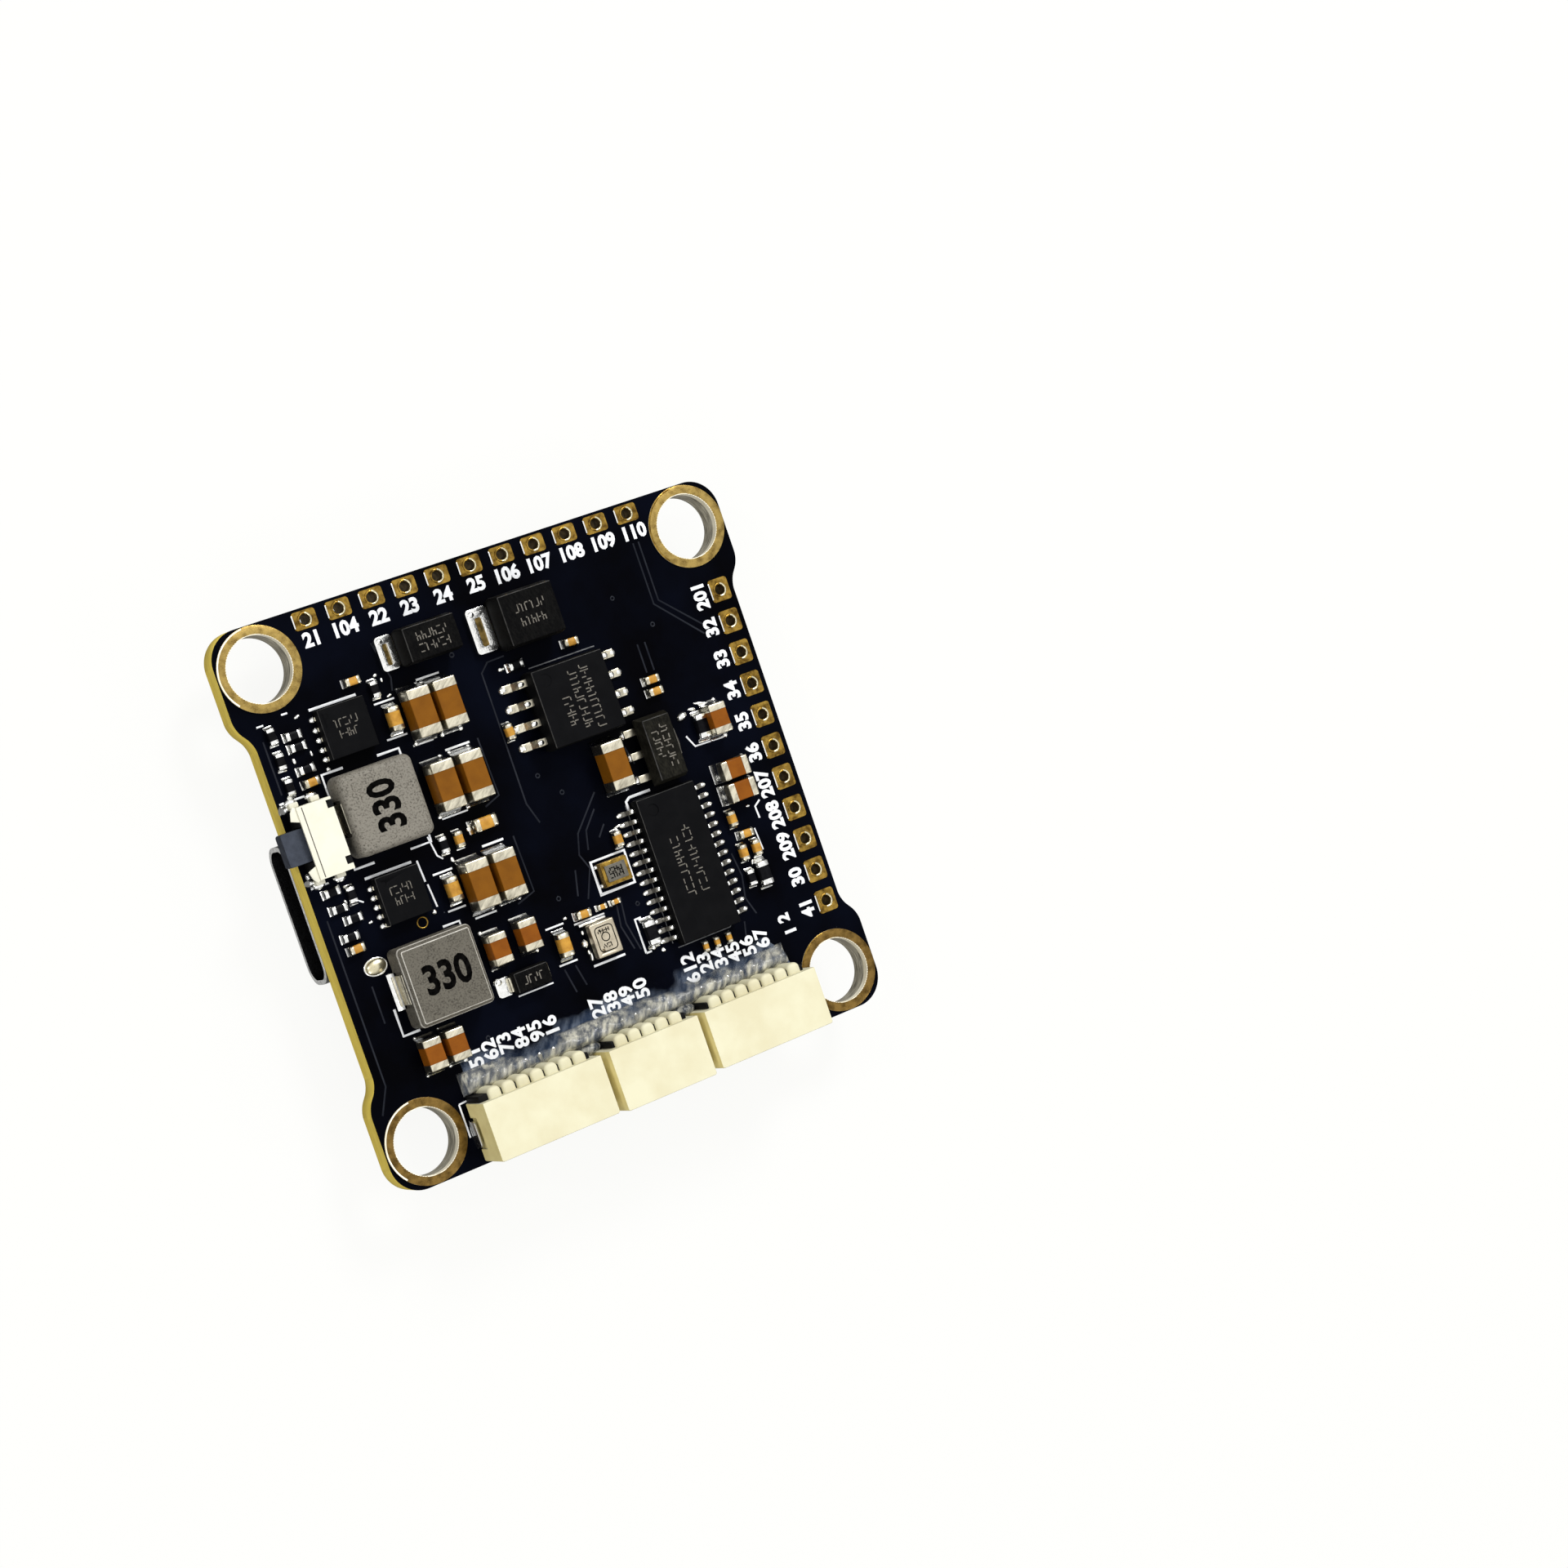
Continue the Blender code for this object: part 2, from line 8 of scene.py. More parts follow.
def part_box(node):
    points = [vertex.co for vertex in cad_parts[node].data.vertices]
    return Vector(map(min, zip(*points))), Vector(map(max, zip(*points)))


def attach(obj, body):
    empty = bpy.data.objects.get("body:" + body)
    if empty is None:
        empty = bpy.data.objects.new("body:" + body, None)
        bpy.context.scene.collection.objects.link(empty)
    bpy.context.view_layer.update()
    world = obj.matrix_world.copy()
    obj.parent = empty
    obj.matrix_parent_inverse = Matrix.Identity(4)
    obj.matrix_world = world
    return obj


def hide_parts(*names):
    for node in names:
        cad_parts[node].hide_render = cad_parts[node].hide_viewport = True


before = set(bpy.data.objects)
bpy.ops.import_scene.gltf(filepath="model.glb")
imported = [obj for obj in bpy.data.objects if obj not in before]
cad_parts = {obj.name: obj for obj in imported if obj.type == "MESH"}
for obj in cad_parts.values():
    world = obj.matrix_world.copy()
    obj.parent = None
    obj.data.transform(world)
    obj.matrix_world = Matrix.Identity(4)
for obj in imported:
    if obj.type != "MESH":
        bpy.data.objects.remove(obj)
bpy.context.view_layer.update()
random.seed(11)

mm = 0.001  # places and sizes below are in mm in the frame of the CAD, and become metres in the helpers
nearlyNothing = 1e-8  # in m: points closer than this are one point


def nodeBox(node):
    low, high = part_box(node)
    return Vector(low) / mm, Vector(high) / mm


boardLow, boardHigh = nodeBox("circuit_board")
topFace = boardHigh.z
underFace = boardLow.z


# Camera, floor and lights

view = {
    "place": (-81.313, 12.191, 191.589),  # height above the board's top face
    "aim": (15.918, -2.619, 0.0),
    "roll": 78.807,
    "lens": 75.93,
    "sensor": 36.0,
    "nearest": 0.005,  # in m
}
studio = {
    "floorSide": 3.0,  # in m
    "floorDrop": 0.05,  # below the object, so that the two never share a plane
    "floorPaint": 0.06,
    "floorColour": (0.985, 0.985, 0.965),
    "floorGlow": 0.93,  # as the camera sees it
    "floorBounce": 0.12,  # as it lights the object
    "sky": 1.0,  # overhead, falling to skyLow between the two heights
    "skyLow": 0.22,
    "skyFrom": 0.25,
    "skyTo": 0.85,
    "lamps": [  # name, place in m, width in m, watts
        ("keyLamp", (0.20, 0.34, 0.36), 0.16, 1.9),
        ("fillLamp", (-0.30, -0.34, 0.30), 0.20, 0.55),
        ("sparkLampRight", (0.34, -0.30, 0.26), 0.05, 0.30),
        ("sparkLampLeft", (-0.34, 0.20, 0.34), 0.05, 0.36),
    ],
}


def onBoard(point):
    return Vector((point[0], point[1], point[2] + topFace)) * mm


def makeCamera():
    place = onBoard(view["place"])
    aim = onBoard(view["aim"])
    bpy.ops.object.camera_add(location=place)
    camera = bpy.context.object
    camera.name = "fixedCamera"
    camera.rotation_mode = "QUATERNION"
    level = (aim - place).to_track_quat("-Z", "Y")
    camera.rotation_quaternion = level @ Quaternion((0, 0, 1), math.radians(view["roll"]))
    camera.data.lens = view["lens"]
    camera.data.sensor_width = view["sensor"]
    camera.data.clip_start = view["nearest"]
    bpy.context.scene.camera = camera


def makeStudio():
    bpy.ops.mesh.primitive_plane_add(size=studio["floorSide"], location=(0, 0, -studio["floorDrop"] * mm))
    floor = bpy.context.object
    floor.name = "paleFloor"
    paint = bpy.data.materials.new("paleFloor")
    paint.use_nodes = True
    tree = paint.node_tree
    shader = tree.nodes["Principled BSDF"]
    shader.inputs["Base Color"].default_value = (*[studio["floorPaint"]] * 3, 1.0)
    shader.inputs["Roughness"].default_value = 0.9
    shader.inputs["Specular IOR Level"].default_value = 0.0
    shader.inputs["Emission Color"].default_value = (*studio["floorColour"], 1.0)
    seen = tree.nodes.new("ShaderNodeLightPath").outputs["Is Camera Ray"]
    glow = tree.nodes.new("ShaderNodeMapRange")
    glow.inputs["To Min"].default_value = studio["floorBounce"]
    glow.inputs["To Max"].default_value = studio["floorGlow"]
    tree.links.new(seen, glow.inputs["Value"])
    tree.links.new(glow.outputs[0], shader.inputs["Emission Strength"])
    floor.data.materials.append(paint)
    sky = bpy.data.worlds.new("paleSky")
    sky.use_nodes = True
    tree = sky.node_tree
    split = tree.nodes.new("ShaderNodeSeparateXYZ")
    tree.links.new(tree.nodes.new("ShaderNodeTexCoord").outputs["Generated"], split.inputs[0])
    height = tree.nodes.new("ShaderNodeMapRange")
    height.interpolation_type = "SMOOTHSTEP"
    for label, key in (("From Min", "skyFrom"), ("From Max", "skyTo"),
                       ("To Min", "skyLow"), ("To Max", "sky")):
        height.inputs[label].default_value = studio[key]
    tree.links.new(split.outputs[2], height.inputs["Value"])
    tree.links.new(height.outputs[0], tree.nodes["Background"].inputs["Strength"])
    tree.nodes["Background"].inputs["Color"].default_value = (1.0, 1.0, 1.0, 1.0)
    bpy.context.scene.world = sky
    for name, place, width, watts in studio["lamps"]:
        bpy.ops.object.light_add(type="AREA", location=place)
        lamp = bpy.context.object
        lamp.name = name
        lamp.data.shape = "DISK"
        lamp.data.size = width
        lamp.data.energy = watts
        lamp.rotation_mode = "QUATERNION"
        lamp.rotation_quaternion = (-Vector(place)).to_track_quat("-Z", "Y")
    bpy.context.scene.view_settings.view_transform = "Standard"


makeCamera()
makeStudio()
print("camera, floor and lights set")


# Shared shader groups

def newGroup(name, takes, gives):
    group = bpy.data.node_groups.new(name, "ShaderNodeTree")
    kinds = {"number": "NodeSocketFloat", "colour": "NodeSocketColor", "vector": "NodeSocketVector"}
    for label, kind, value in takes:
        socket = group.interface.new_socket(name=label, in_out="INPUT", socket_type=kinds[kind])
        if value is not None:
            socket.default_value = value
    for label, kind in gives:
        group.interface.new_socket(name=label, in_out="OUTPUT", socket_type=kinds[kind])
    return group, group.nodes.new("NodeGroupInput"), group.nodes.new("NodeGroupOutput")


def feed(tree, socket, value):
    if isinstance(value, (int, float)):
        socket.default_value = value
    elif isinstance(value, tuple):
        socket.default_value = (*value, 1.0)
    else:
        tree.links.new(value, socket)


def mathNode(tree, operation, first, second, clamp=False):
    node = tree.nodes.new("ShaderNodeMath")
    node.operation = operation
    node.use_clamp = clamp
    feed(tree, node.inputs[0], first)
    feed(tree, node.inputs[1], second)
    return node.outputs[0]


def noiseNode(tree, place, scale, detail):
    node = tree.nodes.new("ShaderNodeTexNoise")
    node.inputs["Detail"].default_value = detail
    feed(tree, node.inputs["Vector"], place)
    feed(tree, node.inputs["Scale"], scale)
    return node.outputs[0]


def rangeNode(tree, value, low, high, outLow=0.0, outHigh=1.0):
    node = tree.nodes.new("ShaderNodeMapRange")
    feed(tree, node.inputs["Value"], value)
    for label, number in (("From Min", low), ("From Max", high), ("To Min", outLow), ("To Max", outHigh)):
        node.inputs[label].default_value = number
    return node.outputs[0]


def mixNode(tree, share, first, second):
    node = tree.nodes.new("ShaderNodeMix")
    node.data_type = "RGBA"
    feed(tree, node.inputs[0], share)
    feed(tree, node.inputs[6], first)
    feed(tree, node.inputs[7], second)
    return node.outputs[2]


def makeGrainGroup():
    # blotches and fine grain that shift colour and roughness, with the grain as a height
    takes = [
        ("Place", "vector", None), ("Colour", "colour", None), ("Second Colour", "colour", None),
        ("Blotch Scale", "number", 1000.0), ("Grain Scale", "number", 10000.0),
        ("Blotch Share", "number", 0.5), ("Grain Share", "number", 0.3),
        ("Roughness", "number", 0.5), ("Roughness Spread", "number", 0.2),
    ]
    gives = [("Colour", "colour"), ("Roughness", "number"), ("Height", "number"), ("Mask", "number")]
    group, start, end = newGroup("surfaceGrain", takes, gives)
    given = start.outputs
    blotch = noiseNode(group, given["Place"], given["Blotch Scale"], 4.0)
    grain = noiseNode(group, given["Place"], given["Grain Scale"], 2.0)
    mask = rangeNode(group, blotch, 0.36, 0.66)
    blotchPart = mathNode(group, "MULTIPLY", mask, given["Blotch Share"])
    grainPart = mathNode(group, "MULTIPLY", mathNode(group, "SUBTRACT", grain, 0.5), given["Grain Share"])
    share = mathNode(group, "ADD", blotchPart, grainPart, clamp=True)
    swing = mathNode(group, "SUBTRACT", blotch, 0.5)
    spread = mathNode(group, "MULTIPLY", swing, given["Roughness Spread"])
    group.links.new(mixNode(group, share, given["Colour"], given["Second Colour"]), end.inputs["Colour"])
    group.links.new(mathNode(group, "ADD", given["Roughness"], spread, clamp=True), end.inputs["Roughness"])
    group.links.new(grain, end.inputs["Height"])
    group.links.new(mask, end.inputs["Mask"])
    return group


def makeSpeckGroup():
    # rare round specks of dust or flux, one in four of the cells they could lie in
    takes = [("Place", "vector", None), ("Colour", "colour", None), ("Speck Colour", "colour", None),
             ("Scale", "number", 1500.0), ("Size", "number", 0.1)]
    group, start, end = newGroup("scatteredSpecks", takes, [("Colour", "colour"), ("Mask", "number")])
    cells = group.nodes.new("ShaderNodeTexVoronoi")
    group.links.new(start.outputs["Place"], cells.inputs["Vector"])
    group.links.new(start.outputs["Scale"], cells.inputs["Scale"])
    near = mathNode(group, "LESS_THAN", cells.outputs["Distance"], start.outputs["Size"])
    chance = group.nodes.new("ShaderNodeSeparateColor")
    group.links.new(cells.outputs["Color"], chance.inputs[0])
    mask = mathNode(group, "MULTIPLY", near, mathNode(group, "GREATER_THAN", chance.outputs[0], 0.75))
    mixed = mixNode(group, mask, start.outputs["Colour"], start.outputs["Speck Colour"])
    group.links.new(mixed, end.inputs["Colour"])
    group.links.new(mask, end.inputs["Mask"])
    return group


surfaceGrain = makeGrainGroup()
scatteredSpecks = makeSpeckGroup()


# Finishes: colour and second colour are linear, blotch and grain are feature sizes in mm with how much
# of the second colour each brings, rough is roughness and its spread, depth is the bump's height in mm,
# stretch is how many times longer the features are along each axis once turned by slant

finishes = {
    "solderMask": dict(colour=(0.0004, 0.0004, 0.0010), second=(0.0014, 0.0023, 0.0068),
                       blotch=(6.0, 0.75), grain=(0.09, 0.25), rough=(0.40, 0.12), depth=0.0012,
                       specular=0.018, specks=((0.10, 0.11, 0.13), 1.5, 0.022)),
    "maskedTrace": dict(colour=(0.016, 0.018, 0.024), second=(0.004, 0.005, 0.009), blotch=(1.5, 0.7),
                        grain=(0.08, 0.3), rough=(0.35, 0.1), depth=0.001, specular=0.08),
    "laminate": dict(colour=(0.97, 0.745, 0.125), second=(0.52, 0.35, 0.045), blotch=(0.9, 0.35),
                     grain=(0.10, 1.1), rough=(0.55, 0.2), depth=0.004, stretch=(8.0, 8.0, 1.0),
                     specular=0.3),
    "gold": dict(colour=(0.42, 0.262, 0.050), second=(0.060, 0.028, 0.005), blotch=(0.42, 0.85),
                 grain=(0.05, 0.7), rough=(0.30, 0.25), depth=0.004, metal=1.0),
    "ringGold": dict(colour=(0.50, 0.35, 0.105), second=(0.105, 0.060, 0.014), blotch=(0.50, 0.70),
                     grain=(0.045, 1.3), rough=(0.33, 0.25), depth=0.004, metal=1.0),
    "ringBrown": dict(colour=(0.27, 0.165, 0.045), second=(0.055, 0.030, 0.007), blotch=(0.50, 0.75),
                      grain=(0.045, 1.3), rough=(0.33, 0.25), depth=0.004, metal=1.0),
    # a painted highlight on the bores' top bands and on the left rings' rims
    "boreBright": dict(colour=(0.96, 0.92, 0.77), second=(0.62, 0.52, 0.30), blotch=(0.30, 0.5),
                       grain=(0.05, 0.6), rough=(0.35, 0.2), depth=0.003, stretch=(5.0, 5.0, 1.0)),
    # a painted highlight for the front faces of the USB shell's wall
    "rimBright": dict(colour=(1.0, 1.0, 0.97), second=(0.10, 0.10, 0.10), blotch=(0.20, 0.45),
                      grain=(0.09, 0.9), rough=(0.40, 0.2), depth=0.006, metal=0.1),
    "boreGold": dict(colour=(0.62, 0.58, 0.46), second=(0.060, 0.050, 0.028), blotch=(0.10, 0.85),
                     grain=(0.04, 0.8), rough=(0.32, 0.2), depth=0.004, stretch=(9.0, 9.0, 1.0),
                     metal=0.2),
    # a painted highlight for the top edges of dark mouldings
    "paintedEdgeHighlight": dict(colour=(0.060, 0.059, 0.056), second=(0.010, 0.010, 0.010), blotch=(0.5, 0.8),
                     grain=(0.05, 0.9), rough=(0.45, 0.15), depth=0.003, specular=0.3),
    # painted light on the housings' left end faces: a brighter, warmer copy of the ivory
    "nylonSidePaintedLight": dict(colour=(0.93, 0.81, 0.385), second=(0.72, 0.60, 0.25), blotch=(1.4, 0.6),
                       grain=(0.06, 0.4), rough=(0.55, 0.1), depth=0.003, specular=0.15),
    "leadGrey": dict(colour=(0.20, 0.19, 0.165), second=(0.05, 0.046, 0.04), blotch=(0.2, 0.5),
                     grain=(0.05, 0.8), rough=(0.35, 0.2), depth=0.004, metal=1.0),
    "crystalTop": dict(colour=(0.15, 0.14, 0.115), second=(0.05, 0.046, 0.038), blotch=(0.3, 0.6),
                       grain=(0.05, 1.0), rough=(0.5, 0.2), depth=0.003, metal=0.6),
    "goldDark": dict(colour=(0.30, 0.20, 0.06), second=(0.05, 0.035, 0.012), blotch=(0.4, 0.8),
                     grain=(0.05, 0.6), rough=(0.42, 0.3), depth=0.003, metal=1.0),
    # pale gold: the oval test pad's colour, and a painted highlight on the pads' lips
    "paleGoldAndPaintedHighlight": dict(colour=(0.80, 0.74, 0.52), second=(0.42, 0.36, 0.20), blotch=(0.5, 0.5),
                     grain=(0.06, 0.7), rough=(0.30, 0.2), depth=0.003, metal=1.0),
    "tin": dict(colour=(0.82, 0.765, 0.60), second=(0.15, 0.13, 0.09), blotch=(0.28, 0.52),
                grain=(0.09, 0.9), rough=(0.30, 0.2), depth=0.006, stretch=(1.0, 4.0, 1.0), slant=-48,
                metal=1.0),
    "solder": dict(colour=(1.0, 1.0, 0.97), second=(0.55, 0.55, 0.52), blotch=(0.25, 0.3),
                   grain=(0.12, 0.4), rough=(0.20, 0.2), depth=0.012, metal=1.0),
    "nickel": dict(colour=(0.66, 0.66, 0.64), second=(0.30, 0.30, 0.29), blotch=(1.1, 0.4),
                   grain=(0.07, 0.4), rough=(0.27, 0.2), depth=0.002, metal=1.0),
    "shellOuter": dict(colour=(0.46, 0.455, 0.44), second=(0.24, 0.235, 0.225), blotch=(0.9, 0.5),
                       grain=(0.05, 0.7), rough=(0.34, 0.2), depth=0.004, stretch=(1.0, 6.0, 1.0),
                       metal=1.0),
    "tongueGrey": dict(colour=(0.030, 0.030, 0.033), second=(0.014, 0.014, 0.016), blotch=(0.8, 0.5),
                       grain=(0.05, 0.6), rough=(0.45, 0.1), depth=0.003, specular=0.2),
    # a darker copy of the shell's steel: painted shade on its inner faces
    "shellSteelPaintedShade": dict(colour=(0.075, 0.075, 0.078), second=(0.012, 0.012, 0.013), blotch=(0.35, 0.8),
                       grain=(0.09, 1.2), rough=(0.32, 0.3), depth=0.008, metal=1.0),
    "lidMetal": dict(colour=(0.62, 0.55, 0.42), second=(0.30, 0.26, 0.19), blotch=(0.5, 0.5),
                     grain=(0.05, 0.8), rough=(0.42, 0.2), depth=0.003, metal=1.0),
    "coverMetal": dict(colour=(0.74, 0.72, 0.60), second=(0.64, 0.62, 0.48), blotch=(0.9, 0.4),
                       grain=(0.08, 0.4), rough=(0.5, 0.15), depth=0.002),
    "bigCeramic": dict(colour=(0.195, 0.071, 0.0038), second=(0.130, 0.044, 0.0022), blotch=(0.9, 0.5),
                       grain=(0.045, 0.5), rough=(0.45, 0.1), depth=0.002, specular=0.10),
    "midCeramic": dict(colour=(0.225, 0.068, 0.0044), second=(0.150, 0.040, 0.0025), blotch=(0.8, 0.5),
                       grain=(0.045, 0.5), rough=(0.45, 0.1), depth=0.002, specular=0.10),
    "smallCeramic": dict(colour=(0.54, 0.28, 0.040), second=(0.27, 0.11, 0.012), blotch=(0.4, 0.6),
                         grain=(0.04, 0.5), rough=(0.45, 0.1), depth=0.002, specular=0.2),
    "resistorBlack": dict(colour=(0.0025, 0.0025, 0.0035), second=(0.008, 0.008, 0.010), blotch=(0.3, 0.5),
                          grain=(0.04, 0.5), rough=(0.40, 0.1), depth=0.002, specular=0.06),
    "mouldedBlack": dict(colour=(0.0026, 0.0027, 0.0032), second=(0.0062, 0.0062, 0.0068),
                         blotch=(1.0, 0.4), grain=(0.035, 1.2), rough=(0.62, 0.12), depth=0.005,
                         specular=0.04),
    "diodeBlack": dict(colour=(0.0018, 0.0018, 0.0020), second=(0.0085, 0.0082, 0.0074),
                       blotch=(0.20, 0.45), grain=(0.05, 1.4), rough=(0.60, 0.12), depth=0.008,
                       stretch=(1.0, 3.5, 1.0), slant=12, specular=0.03),
    "sandyBlack": dict(colour=(0.0050, 0.0047, 0.0036), second=(0.0230, 0.0215, 0.0155),
                       blotch=(0.25, 0.45), grain=(0.06, 1.6), rough=(0.58, 0.12), depth=0.008,
                       stretch=(1.0, 3.5, 1.0), slant=12, specular=0.05),
    "powderGrey": dict(colour=(0.205, 0.190, 0.158), second=(0.048, 0.042, 0.033), blotch=(0.9, 0.25),
                       grain=(0.12, 3.2), rough=(0.55, 0.15), depth=0.014, specular=0.20),
    "powderDark": dict(colour=(0.120, 0.110, 0.088), second=(0.030, 0.026, 0.020), blotch=(0.9, 0.30),
                       grain=(0.11, 3.0), rough=(0.55, 0.15), depth=0.014, specular=0.15),
    # painted highlights on the lower inductor's top bevels
    "powderPaintedEdgeHighlight": dict(colour=(0.55, 0.53, 0.47), second=(0.20, 0.18, 0.152), blotch=(0.4, 0.5),
                       grain=(0.085, 1.6), rough=(0.42, 0.15), depth=0.010, specular=0.4),
    "nylonIvory": dict(colour=(0.695, 0.665, 0.475), second=(0.625, 0.575, 0.380), blotch=(2.2, 0.75),
                       grain=(0.06, 0.3), rough=(0.50, 0.1), depth=0.003, specular=0.2),
    "nylonBlack": dict(colour=(0.004, 0.004, 0.0045), second=(0.010, 0.010, 0.0105), blotch=(0.8, 0.5),
                       grain=(0.04, 0.6), rough=(0.5, 0.1), depth=0.003, specular=0.08),
    "slatePlunger": dict(colour=(0.042, 0.050, 0.068), second=(0.018, 0.022, 0.032), blotch=(0.5, 0.6),
                         grain=(0.05, 0.6), rough=(0.50, 0.15), depth=0.005, specular=0.2),
    "whiteInk": dict(colour=(0.80, 0.81, 0.82), second=(0.50, 0.53, 0.58), blotch=(0.25, 0.25),
                     grain=(0.05, 0.5), rough=(0.6, 0.1), depth=0.003, specular=0.3),
    "faintInk": dict(colour=(0.16, 0.165, 0.17), second=(0.05, 0.052, 0.056), blotch=(0.25, 0.6),
                     grain=(0.05, 0.7), rough=(0.6, 0.1), depth=0.002, specular=0.2),
    "blackInk": dict(colour=(0.0010, 0.0010, 0.0010), second=(0.012, 0.011, 0.010), blotch=(0.3, 0.3),
                     grain=(0.05, 0.8), rough=(0.8, 0.1), depth=0.004, specular=0.0),
    "laserGrey": dict(colour=(0.185, 0.172, 0.146), second=(0.040, 0.037, 0.031), blotch=(0.2, 0.6),
                      grain=(0.04, 0.9), rough=(0.7, 0.1), depth=0.003, specular=0.05),
    "lampResin": dict(colour=(0.80, 0.80, 0.66), second=(0.70, 0.70, 0.52), blotch=(0.4, 0.4),
                      grain=(0.06, 0.3), rough=(0.2, 0.1), depth=0.001),
}


def makeFinish(name, look):
    paint = bpy.data.materials.new(name)
    paint.use_nodes = True
    tree = paint.node_tree
    shader = tree.nodes["Principled BSDF"]
    place = tree.nodes.new("ShaderNodeTexCoord").outputs["Object"]
    if "stretch" in look:
        mapping = tree.nodes.new("ShaderNodeMapping")
        mapping.vector_type = "TEXTURE"  # turned first, then stretched
        mapping.inputs["Scale"].default_value = look["stretch"]
        mapping.inputs["Rotation"].default_value = (0, 0, math.radians(look.get("slant", 0)))
        tree.links.new(place, mapping.inputs["Vector"])
        place = mapping.outputs[0]
    grain = tree.nodes.new("ShaderNodeGroup")
    grain.node_tree = surfaceGrain
    values = {
        "Place": place, "Colour": look["colour"], "Second Colour": look["second"],
        "Blotch Scale": 1 / (look["blotch"][0] * mm), "Blotch Share": look["blotch"][1],
        "Grain Scale": 1 / (look["grain"][0] * mm), "Grain Share": look["grain"][1],
        "Roughness": look["rough"][0], "Roughness Spread": look["rough"][1],
    }
    for label, value in values.items():
        feed(tree, grain.inputs[label], value)
    colour = grain.outputs["Colour"]
    if "specks" in look:
        specks = tree.nodes.new("ShaderNodeGroup")
        specks.node_tree = scatteredSpecks
        speckColour, apart, size = look["specks"]
        for label, value in (("Place", place), ("Colour", colour), ("Speck Colour", speckColour),
                             ("Scale", 1 / (apart * mm)), ("Size", size)):
            feed(tree, specks.inputs[label], value)
        colour = specks.outputs["Colour"]
    bump = tree.nodes.new("ShaderNodeBump")
    bump.inputs["Distance"].default_value = look["depth"] * mm
    tree.links.new(grain.outputs["Height"], bump.inputs["Height"])
    tree.links.new(colour, shader.inputs["Base Color"])
    tree.links.new(grain.outputs["Roughness"], shader.inputs["Roughness"])
    tree.links.new(bump.outputs["Normal"], shader.inputs["Normal"])
    shader.inputs["Metallic"].default_value = look.get("metal", 0.0)
    shader.inputs["Specular IOR Level"].default_value = look.get("specular", 0.5)
    return paint


fadeEdge = {"lump": 2.2, "swing": 3.2}  # how the line where the glue thins out wanders, in mm


def makeClearFinish(name, thin, thick, fadeFrom, fadeTo, look):
    # milky glue: its cover follows the blotches, and fades out between two places on Y
    paint = makeFinish(name, look)
    tree = paint.node_tree
    grain = next(node for node in tree.nodes if node.type == "GROUP")
    cover = rangeNode(tree, grain.outputs["Mask"], 0.0, 1.0, thin, thick)
    place = tree.nodes.new("ShaderNodeTexCoord").outputs["Object"]
    split = tree.nodes.new("ShaderNodeSeparateXYZ")
    tree.links.new(place, split.inputs[0])
    wobble = noiseNode(tree, place, 1 / (fadeEdge["lump"] * mm), 2.0)
    edge = mathNode(tree, "MULTIPLY", mathNode(tree, "SUBTRACT", wobble, 0.5), fadeEdge["swing"] * mm)
    fade = rangeNode(tree, mathNode(tree, "ADD", split.outputs[1], edge), fadeFrom * mm, fadeTo * mm)
    cover = mathNode(tree, "MULTIPLY", cover, fade)
    tree.links.new(cover, tree.nodes["Principled BSDF"].inputs["Alpha"])
    return paint


paints = {name: makeFinish(name, look) for name, look in finishes.items()}
clearFinishes = {  # least and most cover, where on Y it has gone and where it is full, and the look
    "milkyGlue": (0.42, 0.90, -12.15, -13.15,
                  dict(colour=(0.120, 0.135, 0.160), second=(0.74, 0.71, 0.58), blotch=(0.36, 0.80),
                       grain=(0.10, 0.9), rough=(0.20, 0.2), depth=0.030, stretch=(1.0, 6.5, 1.0), slant=-28,
                       specular=0.4)),
    "glueFilm": (0.40, 0.70, -11.5, -13.6,
                 dict(colour=(0.050, 0.085, 0.165), second=(0.34, 0.40, 0.50), blotch=(0.6, 0.6),
                      grain=(0.15, 0.6), rough=(0.25, 0.2), depth=0.010, stretch=(1.0, 2.6, 1.0), slant=-28,
                      specular=0.3)),
}
paints.update({name: makeClearFinish(name, *values) for name, values in clearFinishes.items()})
print("finishes made:", len(paints))


# Modelling helpers

def pickOnly(*chosen):
    bpy.ops.object.select_all(action="DESELECT")
    for piece in chosen:
        piece.select_set(True)
    bpy.context.view_layer.objects.active = chosen[0]


def settle(name, finish, size=None):
    # the new primitive's place and size go into its mesh
    piece = bpy.context.object
    if size is not None:
        piece.scale = size
    pickOnly(piece)
    bpy.ops.object.transform_apply(location=True, rotation=True, scale=True)
    piece.name = name
    piece.data.name = name
    piece.data.materials.clear()
    piece.data.materials.append(paints[finish])
    return piece


def block(name, low, high, finish):
    low, high = Vector(low) * mm, Vector(high) * mm
    bpy.ops.mesh.primitive_cube_add(size=1.0, location=(low + high) / 2, scale=high - low)
    return settle(name, finish)


def disc(name, centre, radius, height, finish, steps=32, ends="NGON", turn=(0, 0, 0)):
    bpy.ops.mesh.primitive_cylinder_add(
        vertices=steps, radius=radius * mm, depth=height * mm, location=Vector(centre) * mm,
        end_fill_type=ends, rotation=turn)
    return settle(name, finish)


